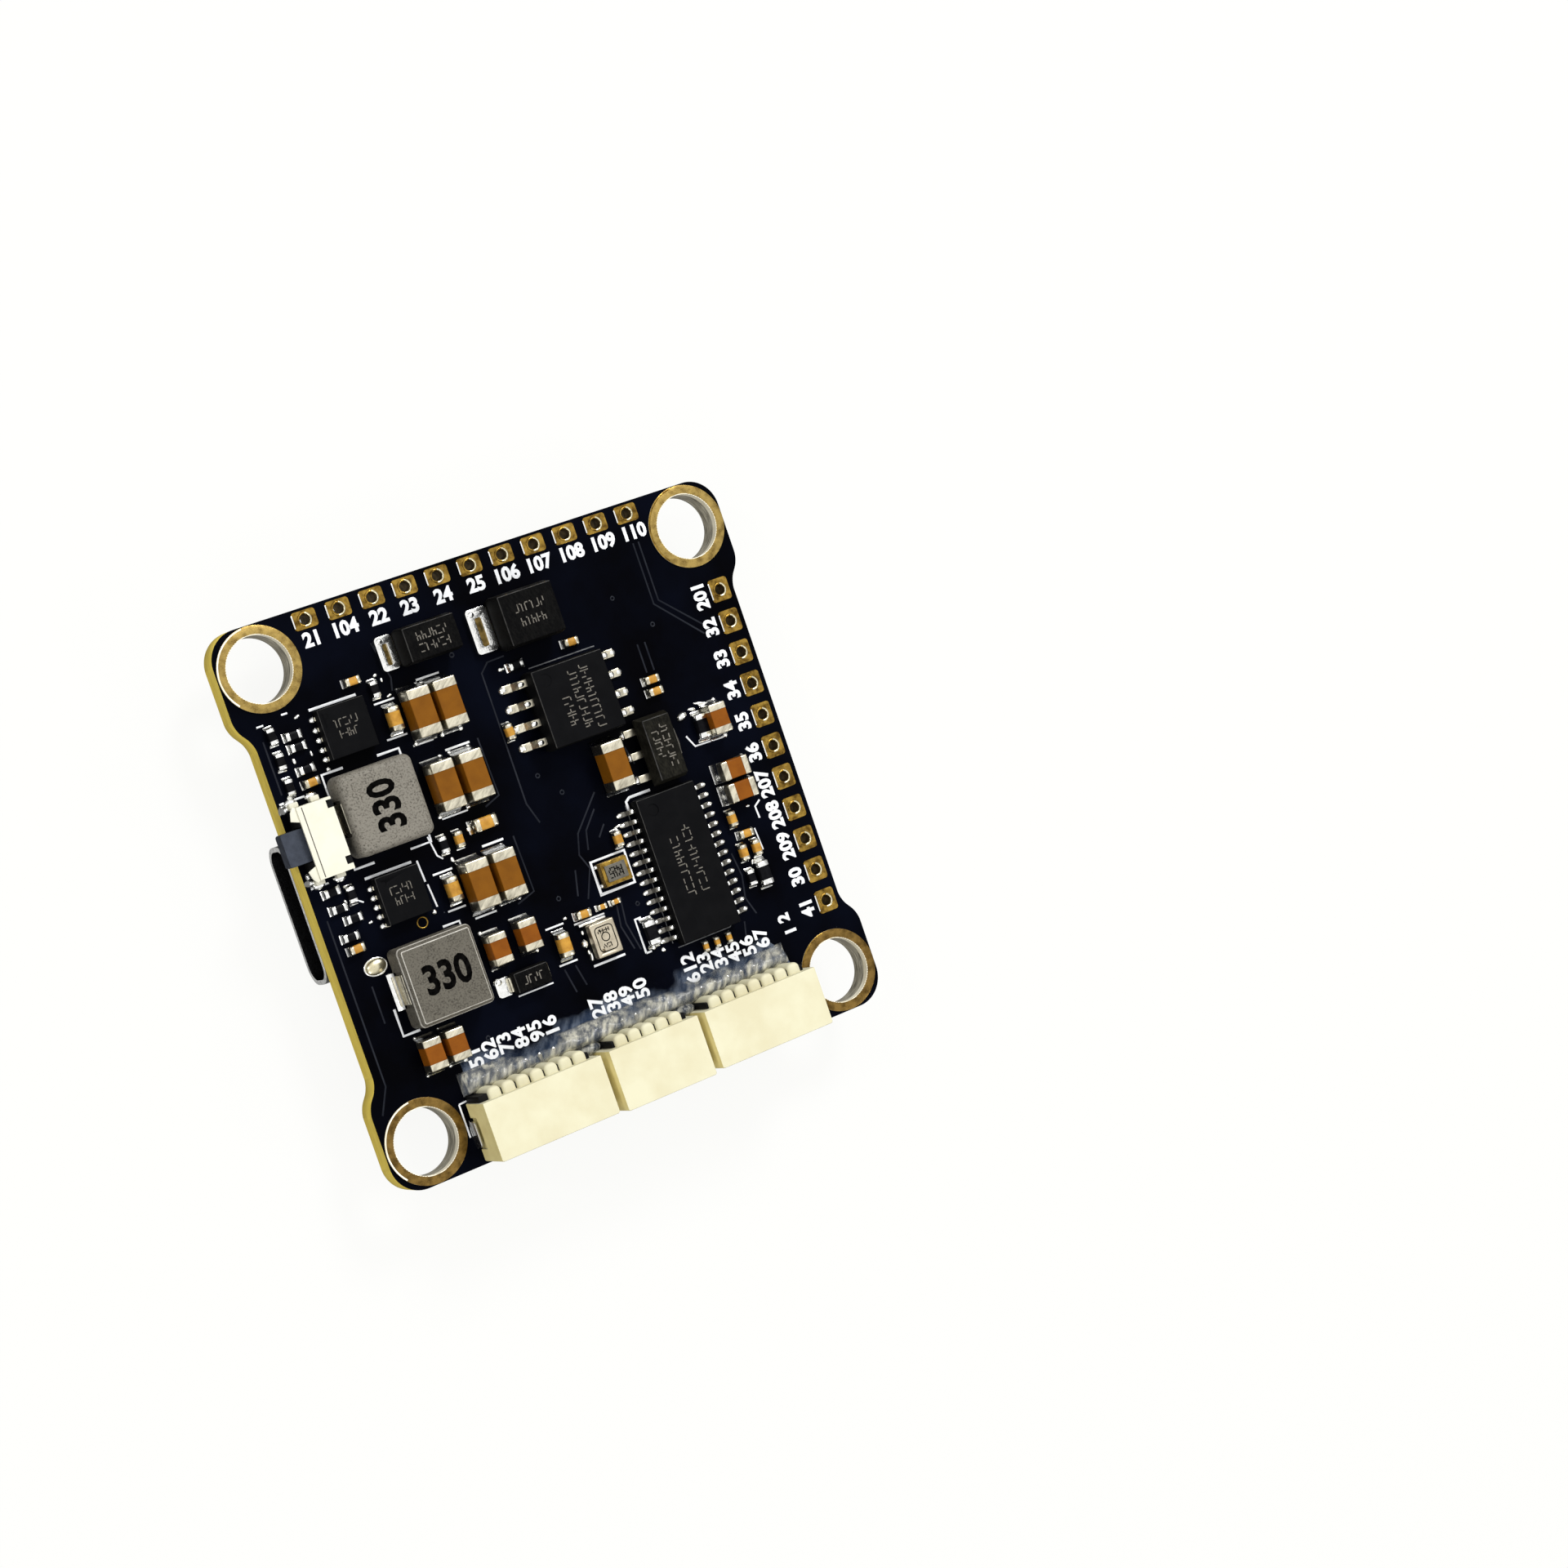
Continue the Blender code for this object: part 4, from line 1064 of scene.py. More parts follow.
def makeLeadedChip(node, shape):
    low, high = nodeBox(node)
    centre = (low + high) / 2
    body = makeMoulding(node, shape["taper"], shape["edge"], shape["parting"])
    inX, inY, radius, depth = shape["dimple"]
    pressDimple(body, low.x + inX, high.y - inY, high.z, radius, depth)
    keys = ("width", "reach", "shoulder", "thick", "foot", "slope", "finish")
    lead = makeLead(*(shape[key] for key in keys))
    drops = [blob(x, 0, level, radii, "solder") for x, level, radii in (shape["toe"], shape["heel"])]
    places = []
    for y in shape["spots"]:
        places += [(high.x, centre.y + y, topFace + leadLift), (low.x, centre.y + y, topFace + leadLift, 180)]
    leads = stamped(joined("lead", [lead] + drops), places)
    marks = [scribble(centre.x + x, centre.y + y, -90, count, shape["pitch"], shape["tall"], high.z)
             for x, y, count in shape["rows"]]
    keep(joined(plainName(node), [body] + leads + marks), [node])


def makeBuckChip(node, dotsLeft, dotsRight):
    name = node.replace("_converter_", "Converter")
    low, high = nodeBox(node)
    centre = (low + high) / 2
    body = makeMoulding(node, 0.01, 0.05, 0.5)
    parts = [pressDimple(body, low.x + 0.45, high.y - 0.5, high.z, 0.16, 0.03)]
    for y in dotsLeft:
        parts.append(blob(low.x - 0.10, y, topFace, (0.30, 0.20, 0.18), "solder"))
        parts.append(block("lead", (low.x - 0.02, y - 0.13, topFace + 0.02),
                           (low.x + 0.25, y + 0.13, topFace + 0.22), "tin"))
    for y in dotsRight:
        parts.append(blob(high.x + 0.08, y, topFace, (0.18, 0.14, 0.12), "solder"))
    for shift, count in ((0.45, 5), (-0.25, 4)):
        parts.append(scribble(centre.x + 0.05, centre.y + shift, 0, count, 0.33, 0.44, high.z, thin=0.06))
    keep(joined(name, parts), [node])


regulatorShape = {
    "taper": 0.24, "edge": 0.07, "parting": 0.35, "leads": 3, "pitch": 1.5, "leadHalf": 0.24,
    "leadFrom": 0.75, "leadTop": 0.40, "tabHalf": 0.85, "tabTo": 0.40, "tabTop": 0.30,
    "inside": 0.2,  # how far leads and tab reach into the body
    "rows": ((0.30, 0.0, 8), (-0.38, 0.2, 5)),
}


def makeRegulator():
    shape = regulatorShape
    low, high = nodeBox("voltage_regulator")
    centre = (low + high) / 2
    base = topFace + 0.02
    parts = [makeMoulding("voltage_regulator", shape["taper"], shape["edge"], shape["parting"], "sandyBlack")]
    for y in evenly(shape["leads"], -shape["pitch"], centre.y):
        parts.append(slab("lead", (low.x - shape["leadFrom"], y - shape["leadHalf"], base),
                          (low.x + shape["inside"], y + shape["leadHalf"], topFace + shape["leadTop"]),
                          "tin", 0.05))
        parts.append(blob(low.x - 0.70, y, topFace, (0.32, 0.32, 0.30), "solder"))
    parts.append(slab("tab", (high.x - shape["inside"], centre.y - shape["tabHalf"], base),
                      (high.x + shape["tabTo"], centre.y + shape["tabHalf"], topFace + shape["tabTop"]),
                      "leadGrey", 0.05))
    parts.append(blob(high.x + 0.42, centre.y, topFace, (0.16, 0.75, 0.18), "leadGrey"))
    for x, y, count in shape["rows"]:
        parts.append(scribble(centre.x + x, centre.y + y, -90, count, 0.36, 0.42, high.z, thin=0.08))
    keep(joined("voltageRegulator", parts), ["voltage_regulator"])


# top: height of the strap's fold; window: whether the pool of solder shows the pad through a hole in it;
# rows: Y from the middle and number of strokes
diodes = {
    "protection_diode_small": {"taper": 0.14, "width": 1.9, "reach": 0.95, "top": 0.34, "window": True,
                               "rows": ((0.35, 6), (-0.40, 6))},
    "protection_diode_large": {"taper": 0.16, "width": 2.6, "reach": 1.25, "top": 0.34, "window": True,
                               "rows": ((0.55, 6), (-0.35, 5))},
    "schottky_diode": {"taper": 0.08, "width": 0.9, "reach": 0.85, "top": 0.60, "window": False,
                       "rows": ((0.0, 4),)},
}
farReach = 0.32  # of the strap on the right, which mostly hides under its body


def makePool(edge, middle, reach, half, window):
    # the solder round the left strap's foot
    outlines = [roundedRectangle(edge - reach / 2 - 0.06, middle, reach + 0.20, 2 * half + 0.30, 0.25)]
    hole = roundedRectangle(edge - reach * 0.56, middle - 0.1, reach * 0.34, 2 * half * 0.72, 0.12)
    if window:
        outlines.append(hole)
    parts = [roundAll(plate("pool", outlines, topFace + 0.005, topFace + 0.36, "solder"), 0.09, 3)]
    if window:
        well = plate("well", [hole], topFace + 0.02, topFace + 0.24, "goldDark")
        parts.append(roundAll(well, 0.02, 1))
    radii = (0.36, 0.30, 0.34)
    parts.append(blob(edge - reach * 0.85, middle + half * 0.85, topFace + 0.1, radii, "solder"))
    return parts


def makeDiode(node, shape):
    # a moulded body with a strap folded down each end and out onto the board
    low, high = nodeBox(node)
    centre = (low + high) / 2
    name = node.split("_")[0] + node.split("_")[-1].capitalize()
    parts = [makeMoulding(node, shape["taper"], 0.07, 0.5, "diodeBlack")]
    half, top = shape["width"] / 2, shape["top"]
    for edge, reach, turn in ((low.x, shape["reach"], 180), (high.x, farReach, 0)):
        section = [(-0.1, top), (0.10, top), (0.18, top - 0.08), (0.20, 0.24), (reach, 0.20), (reach, 0.0),
                   (-0.1, 0.0)]
        strap = roundAll(plate("strap", [section], -half, half, "tin", "Y"), 0.04, 2)
        parts += stamped(strap, [(edge, centre.y, topFace + leadLift, turn)])
        if edge == low.x:
            parts += makePool(edge, centre.y, reach, half, shape["window"])
    for shift, count in shape["rows"]:
        parts.append(scribble(centre.x + 0.1, centre.y + shift, 0, count, 0.36, 0.46, high.z))
    keep(joined(name, parts), [node])


makeLeadedChip("flash_memory_chip", flashChip)
makeLeadedChip("overlay_chip", overlayChip)
makeBuckChip("buck_converter_upper", (11.30, 10.62, 9.98, 9.35, 8.75), ())
makeBuckChip("buck_converter_lower", (0.40, -0.20, -0.80, -1.40, -2.00), (0.45, -0.15, -0.75, -1.35))
makeRegulator()
for node, shape in diodes.items():
    makeDiode(node, shape)
print("moulded chips and diodes made")


# Shielded inductors

inductorLook = {
    "power_inductor_upper": dict(round=0.46, steps=5, corner=0.50, turn=90, lip=False, body="powderGrey"),
    "power_inductor_lower": dict(round=0.26, steps=1, corner=0.34, turn=0, lip=True, body="powderDark"),
}
inductorRecess = (0.14, 2.3, 1.35)  # in each end, for its strap: depth, width and height


def makeInductor(node):
    look = inductorLook[node]
    low, high = nodeBox(node)
    centre = (low + high) / 2
    deep, wide, tall = inductorRecess
    body = block(plainName(node), low, high, look["body"])
    for x in (low.x, high.x):
        cutAway(body, block("recess", (x - deep, centre.y - wide / 2, low.z - 0.1),
                            (x + deep, centre.y + wide / 2, low.z + tall), look["body"]))
    choose(body, "EDGE", lambda middle, along: upright(middle, along)
           and abs(middle.x - centre.x) > 2.4 and abs(middle.y - centre.y) > 2.4)
    bevelChosen(look["corner"], 6)
    choose(body, "EDGE", lambda middle, along: middle.z > high.z - 0.01)
    bevelChosen(look["round"], look["steps"])
    # lip: a wider rounding, whose bevels below get painted highlights
    roundAll(body, 0.07 if look["lip"] else 0.05, 2, 35)
    if look["lip"]:
        paintWhere(body, "powderPaintedEdgeHighlight", lambda middle, facing: 0.78 < facing.z < 0.97
                   or (0.15 < facing.z < 0.62 and middle.z > high.z - 0.6))
    parts = [body]
    for x, outward, turn in ((low.x, -1, 180), (high.x, 1, 0)):
        section = [(-0.02, 1.22), (0.08, 1.22), (deep, 1.14), (deep, 0.16), (0.36, 0.14), (0.36, 0),
                   (-0.02, 0)]
        strap = roundAll(plate("strap", [section], -0.95, 0.95, "tin", "Y"), 0.03, 2)
        parts += stamped(strap, [(x - outward * deep, centre.y, topFace + 0.02, turn)])
        parts += stamped(makeFillet(2.3, 0.5, 0.42), [(x + outward * 0.04, centre.y, topFace, turn - 90)])
    parts.append(printed("330", 2.5, centre.x + 0.05, centre.y, high.z, look["turn"], "blackInk",
                         0.080, 0.86, 0.008))
    keep(joined(body.name, parts), [node])


for node in inductorLook:
    makeInductor(node)
print("inductors made")


# Crystal and pressure sensor

crystalShape = {"baseHeight": 0.35, "brim": 0.03, "crown": 0.26, "crownHeight": 0.08}
sensorShape = {"baseHeight": 0.28, "brim": 0.04, "vent": (-0.45, -0.70), "ventRadius": 0.13, "ink": 0.07}


def makeCrystal():
    low, high = nodeBox("overlay_crystal")
    centre = (low + high) / 2
    shape = crystalShape
    brim, crown, step = shape["brim"], shape["crown"], low.z + shape["baseHeight"]
    parts = [
        slab("base", low, (high.x, high.y, step), "goldDark", 0.04),
        slab("lid", (low.x + brim, low.y + brim, step),
             (high.x - brim, high.y - brim, high.z - shape["crownHeight"]), "gold", 0.05),
        slab("crown", (low.x + crown, low.y + crown, high.z - 0.10),
             (high.x - crown, high.y - crown, high.z), "crystalTop", 0.05),
    ]
    for sx in (-1, 1):
        for sy in (-1, 1):
            parts.append(blob(centre.x + sx * 0.98, centre.y + sy * 0.62, topFace, (0.20, 0.16, 0.20),
                              "solder"))
    for shift in (0.18, -0.18):
        parts.append(scribble(centre.x, centre.y + shift, 0, 5, 0.20, 0.26, high.z, "blackInk", 0.07))
    keep(joined("overlayCrystal", parts), ["overlay_crystal"])


def makeSensor():
    low, high = nodeBox("pressure_sensor")
    centre = (low + high) / 2
    shape = sensorShape
    brim, step = shape["brim"], low.z + shape["baseHeight"]
    base = slab("base", low, (high.x, high.y, step), "mouldedBlack", 0.03)
    lid = slab("lid", (low.x + brim, low.y + brim, step), (high.x - brim, high.y - brim, high.z), "lidMetal",
               0.10, 3)
    x, y = shape["vent"]
    cutAway(lid, disc("vent", (centre.x + x, centre.y + y, high.z), shape["ventRadius"], 0.5, "lidMetal", 20))
    smooth(lid)
    parts = [base, lid]
    for outline in (roundedRectangle(centre.x, centre.y, 1.25, 1.60, 0.25),
                    circlePoints(centre.x, centre.y + 0.1, 0.28, 14)):
        parts.append(line(outline, shape["ink"], high.z, "blackInk", 0.01, True))
    for shift, count, tall in ((0.52, 5, 0.20), (-0.45, 4, 0.22)):
        parts.append(scribble(centre.x, centre.y + shift, 0, count, 0.17, tall, high.z, "blackInk", 0.06))
    parts.append(slab("rim", (low.x - 0.30, high.y - 0.02, topFace),
                      (high.x - 0.2, high.y + 0.16, topFace + 0.30), "solder", 0.05))
    for y in (0.75, 0.1, -0.55):
        parts.append(blob(low.x - 0.06, centre.y + y, topFace, (0.16, 0.18, 0.14), "solder"))
        parts.append(blob(high.x + 0.06, centre.y + y, topFace, (0.14, 0.16, 0.12), "solder"))
    keep(joined("pressureSensor", parts), ["pressure_sensor"])


makeCrystal()
makeSensor()
print("crystal and sensor made")


# Wire sockets with their contacts and hold-down tabs

socketShape = {
    "humpWidth": 0.91, "humpHeight": 2.4, "humpDepth": 0.72, "humpIn": 0.10, "pitch": 1.0,
    "backDepth": 0.70, "wall": 0.45, "mouthHeight": 1.9, "mouthDepth": 3.0, "edge": 0.07,
    "slotDeep": 0.12, "slotFrom": 0.85, "slotTo": 2.85, "slotTop": 1.05,  # beside each hold-down tab
    "shadeSlabDepth": 0.42, "shadeSlabHeight": 2.2, "gapRight": 0.45,  # a black slab behind the humps: painted shade in the hollows between them
}
shadeSlabLeft = {"wire_socket_left": 0.10, "wire_socket_middle": 0.60, "wire_socket_right": 0.60}
sockets = {"wire_socket_left": 6, "wire_socket_middle": 4, "wire_socket_right": 6}


def makeSocket(node, contacts):
    shape = socketShape
    low, high = nodeBox(node)
    back = high.y - shape["backDepth"]
    centreX = (low.x + high.x) / 2
    body = block("housing", low, (high.x, back, high.z), "nylonIvory")
    choose(body, "EDGE", lambda middle, along: upright(middle, along) and middle.y < low.y + 0.1)
    bevelChosen(0.12, 2)
    middle = (low.z + high.z) / 2
    cutAway(body, block("mouth", (low.x + shape["wall"], low.y - 1, middle - shape["mouthHeight"] / 2),
                        (high.x - shape["wall"], low.y + shape["mouthDepth"],
                         middle + shape["mouthHeight"] / 2), "nylonIvory"))
    for x in (low.x, high.x):
        cutAway(body, block("slot", (x - shape["slotDeep"], low.y + shape["slotFrom"], low.z - 0.1),
                            (x + shape["slotDeep"], low.y + shape["slotTo"], low.z + shape["slotTop"]),
                            "nylonIvory"))
    roundAll(body, shape["edge"], 2, 40)
    # the left end faces get painted light: a brighter, warmer copy of the ivory
    paintWhere(body, "nylonSidePaintedLight", lambda centre, facing: facing.x < -0.7 and centre.x < low.x + 0.2)
    # a black slab behind the humps stands for the shade in the hollows between them
    gap = slab("gap", (low.x + shadeSlabLeft[node], back - 0.05, low.z),
               (high.x - shape["gapRight"], back + shape["shadeSlabDepth"], low.z + shape["shadeSlabHeight"]),
               "nylonBlack", 0.10)
    humpTop = low.z + shape["humpHeight"]
    hump = block("hump", (-shape["humpWidth"] / 2, -shape["humpIn"], low.z),
                 (shape["humpWidth"] / 2, shape["humpDepth"] - 0.02, humpTop), "nylonIvory")
    choose(hump, "EDGE", lambda centre, along: upright(centre, along) and centre.y > 0.3)
    bevelChosen(0.36, 5)
    choose(hump, "EDGE", lambda centre, along: centre.z > humpTop - 0.01 and centre.y > 0)
    bevelChosen(0.22, 4)
    smooth(hump, 50)
    parts = [body, gap]
    parts += stamped(hump, [(x, back, 0) for x in evenly(contacts + 1, shape["pitch"], centreX)])
    # contacts: a tongue in the mouth and a tail soldered behind the housing
    section = [(-3.0, 1.25), (-0.2, 1.25), (0.55, 0.16), (1.15, 0.16), (1.15, 0.0), (0.45, 0.0),
               (-0.25, 1.05), (-3.0, 1.05)]
    contact = roundAll(plate("contact", [section], -0.11, 0.11, "tin", "X"), 0.03, 1)
    toe = blob(0, 1.05, 0.0, (0.17, 0.24, 0.15), "solder")
    contact = joined("contact", [contact, toe])
    parts += stamped(contact, [(x, back, topFace + leadLift)
                               for x in evenly(contacts, shape["pitch"], centreX)])
    keep(joined(plainName(node), parts), [node])
    for side in ("left", "right"):
        tabNode = f"{node}_tab_{side}"
        tabLow, tabHigh = nodeBox(tabNode)
        tab = block("tab", tabLow, tabHigh, "nickel")
        choose(tab, "EDGE", lambda middle, along: abs(along.x) > 0.9 and middle.z > tabHigh.z - 0.01)
        bevelChosen(0.25, 4)
        roundAll(tab, 0.03, 2)
        foot = blob((tabLow.x + tabHigh.x) / 2, (tabLow.y + tabHigh.y) / 2, topFace, (0.13, 0.95, 0.28),
                    "solder")
        keep(joined(plainName(tabNode), [tab, foot]), [tabNode])


for node, contacts in sockets.items():
    makeSocket(node, contacts)
print("wire sockets made")


# Hardened glue behind the sockets

glueShape = {
    "from": (-12.0, -13.62), "to": (11.95, -12.15), "cutsAlong": 150, "cutsAcross": 16, "crest": 1.05,
    "lumps": 0.55, "lumpSize": 0.9, "skin": 0.05,
    "plugs": (-3.35, 3.60), "plugY": -13.80, "plugSize": (0.98, 0.50, 1.05),
    "film": [(-11.5, -13.6), (12.1, -13.6), (11.9, -12.7), (10.8, -11.4), (9.0, -11.2), (-11.5, -11.2)],
    "filmFrom": 0.045, "filmTo": 0.055,
}


def makeGlue():
    shape = glueShape
    (x0, y0), (x1, y1) = shape["from"], shape["to"]
    bpy.ops.mesh.primitive_grid_add(
        x_subdivisions=shape["cutsAlong"], y_subdivisions=shape["cutsAcross"], size=mm,
        location=Vector(((x0 + x1) / 2, (y0 + y1) / 2, topFace + 0.02)) * mm)
    glue = settle("glueBead", "milkyGlue", (x1 - x0, y1 - y0, 1))
    # the strip rises from the board behind the sockets and falls again at their backs
    for row in range(1, shape["cutsAcross"]):
        share = row / shape["cutsAcross"]
        y = y0 + (y1 - y0) * share
        rise = shape["crest"] * math.sin(math.pi * share ** 0.75) ** 0.6
        choose(glue, "VERT", lambda point: abs(point.y - y) < 0.02 and x0 + 0.2 < point.x < x1 - 0.2)
        moveChosen((0, 0, rise))
    soft = glue.vertex_groups.new(name="lumps")
    soft.add([point.index for point in glue.data.vertices
              if point.co.z / mm > topFace + 0.4], 1.0, "REPLACE")
    lumps = bpy.data.textures.new("lumps", "CLOUDS")
    lumps.noise_scale = shape["lumpSize"] * mm
    lumps.noise_depth = 2
    useModifier(glue, "DISPLACE", texture=lumps, texture_coords="LOCAL", direction="Z", mid_level=0.6,
                strength=shape["lumps"] * mm, vertex_group="lumps")
    useModifier(glue, "SOLIDIFY", thickness=shape["skin"] * mm, offset=-1)
    pickOnly(glue)
    bpy.ops.object.shade_smooth()
    # plugs between neighbouring sockets
    plugs = [blob(x, shape["plugY"], topFace, shape["plugSize"], "milkyGlue", 24, 14)
             for x in shape["plugs"]]
    keep(joined("glueBead", [glue] + plugs), ["glue_bead"])
    film = plate("glueFilm", [shape["film"]], topFace + shape["filmFrom"], topFace + shape["filmTo"],
                 "glueFilm")
    keep(film)


makeGlue()
print("glue made")


# Boot button

buttonShape = {
    "tipWidth": 2.1, "tipHeight": 1.0, "flange": (0.6, 2.6, 1.2), "coverThick": 0.15, "notch": 0.25,
    "play": 0.05,  # room round the plunger
    "domeThick": 0.05, "footHalf": 0.30, "footOut": 0.32,
    # one wing: X from the cover's front, and Y inward from its end
    "wing": [(0.02, 0.92), (-0.55, 0.70), (-0.42, 0.20), (-0.20, -0.12), (0.02, 0.0)],
}


def makeButton():
    shape = buttonShape
    low, high = nodeBox("boot_button_cover")
    baseLow, baseHigh = nodeBox("boot_button_base")
    centreY = (low.y + high.y) / 2
    thick = shape["coverThick"]
    # the cover is a folded channel: outline seen from the front, thickness along X
    half = (high.y - low.y) / 2
    top = high.z
    section = [
        (centreY - half, low.z), (centreY - half, top), (centreY + half, top), (centreY + half, low.z),
        (centreY + half - thick, low.z), (centreY + half - thick, top - thick),
        (centreY - half + thick, top - thick), (centreY - half + thick, low.z),
    ]
    cover = plate("cover", [section], low.x, high.x, "coverMetal", "X")
    reach = shape["notch"]
    for y in (centreY - half + 0.60, centreY + half - 0.42):
        cutAway(cover, block("notch", (high.x - 0.38, y - reach, top - 0.3),
                             (high.x + 0.3, y + reach, top + 0.3), "coverMetal"))
    roundAll(cover, 0.05, 3)
    # a dark grey line along the cover's crease: painted shade in the fold
    creaseShadeLine = [(low.x + 0.34, low.y + 0.08), (low.x + 0.34, high.y - 0.08)]
    parts = [cover, line(creaseShadeLine, 0.07, top, "leadGrey", 0.012)]
    for y, outward in ((low.y, -1), (high.y, 1)):
        near, far = sorted((y, y + outward * shape["footOut"]))
        for x in (low.x + 0.35, high.x - 0.55):
            parts.append(slab("foot", (x - shape["footHalf"], near, topFace + 0.03),
                              (x + shape["footHalf"], far, topFace + 0.60), "coverMetal", 0.06))
            parts.append(blob(x, y + outward * 0.30, topFace, (0.45, 0.34, 0.26), "solder"))
    # crumpled wings that fold down over the front corners of the base
    for end, flip in ((low.y, 1), (high.y, -1)):
        outline = [(low.x + x, end + flip * y) for x, y in shape["wing"]]
        wing = roundAll(plate("wing", [outline], baseHigh.z + 0.03, baseHigh.z + 0.12, "coverMetal"), 0.03, 2)
        choose(wing, "VERT", lambda point: point.x < low.x - 0.3)
        moveChosen((0, 0, -0.02))
        parts.append(wing)
        parts.append(blob(low.x - 0.18, end - flip * 0.02, topFace, (0.34, 0.30, 0.62), "solder", 10, 8))
    keep(joined("bootButtonCover", parts), ["boot_button_cover"])
    base = block("base", baseLow, baseHigh, "nylonBlack")
    plungerLow, plungerHigh = nodeBox("boot_button_plunger")
    axis = (plungerLow.z + plungerHigh.z) / 2
    play = shape["play"]
    cavityFront = plungerHigh.x - shape["flange"][0] - play
    slotHalf = shape["tipWidth"] / 2 + play
    cutAway(base, block("cavity", (cavityFront, centreY - 1.4, baseLow.z + 0.2),
                        (cavityFront + 1.3, centreY + 1.4, baseHigh.z + 1), "nylonBlack"))
    cutAway(base, block("slot", (baseLow.x - 1, centreY - slotHalf, axis - shape["tipHeight"] / 2 - play),
                        (cavityFront + play, centreY + slotHalf, baseHigh.z + 1), "nylonBlack"))
    roundAll(base, 0.04, 2)
    keep(base, ["boot_button_base"])
    base.name = "bootButtonBase"
    # plunger: a rounded tip with a flange that the base holds in
    depth, width, height = shape["flange"]
    tip = block("bootButtonPlunger",
                (plungerLow.x, centreY - shape["tipWidth"] / 2, axis - shape["tipHeight"] / 2),
                (plungerHigh.x - depth / 2, centreY + shape["tipWidth"] / 2, axis + shape["tipHeight"] / 2),
                "slatePlunger")
    choose(tip, "EDGE", lambda middle, along: upright(middle, along) and middle.x < plungerLow.x + 0.1)
    bevelChosen(0.16, 4)
    flange = block("flange", (plungerHigh.x - depth, centreY - width / 2, axis - height / 2),
                   (plungerHigh.x, centreY + width / 2, axis + height / 2), "slatePlunger")
    cutAway(tip, flange, "UNION")
    roundAll(tip, 0.05, 2)
    keep(tip, ["boot_button_plunger"], "boot_button")
    domeLow, domeHigh = nodeBox("boot_button_dome")
    middle = (domeLow + domeHigh) / 2
    bpy.ops.mesh.primitive_uv_sphere_add(
        segments=32, ring_count=24, radius=mm, location=Vector((domeHigh.x, middle.y, middle.z)) * mm,
        rotation=(0, math.radians(90), 0))
    spread = (domeHigh.z - domeLow.z) / 2
    dome = settle("bootButtonDome", "nickel", (spread, spread, domeHigh.x - domeLow.x - 0.03))
    slicePiece(dome, (domeHigh.x, 0, 0), (1, 0, 0), clear_outer=True)
    useModifier(dome, "SOLIDIFY", thickness=shape["domeThick"] * mm, offset=-1)
    smooth(dome, 50)
    keep(dome, ["boot_button_dome"])


makeButton()
print("boot button made")


# USB socket under the board

usbShape = {"corner": 1.2, "wall": 0.3, "backDepth": 2.2, "tongueWidth": 6.7, "tongueHeight": 0.7,
            "setback": 1.0, "contacts": 12, "contactPitch": 0.5, "contactFrom": 1.4, "contactTo": 4.6,
            "contactHalf": 0.12, "contactThick": 0.04, "rearBand": 0.40, "legHalf": 0.45, "legOut": 0.18,
            "tail": [(0, 0), (0.85, 0), (0.85, 0.12), (0, 0.12)]}


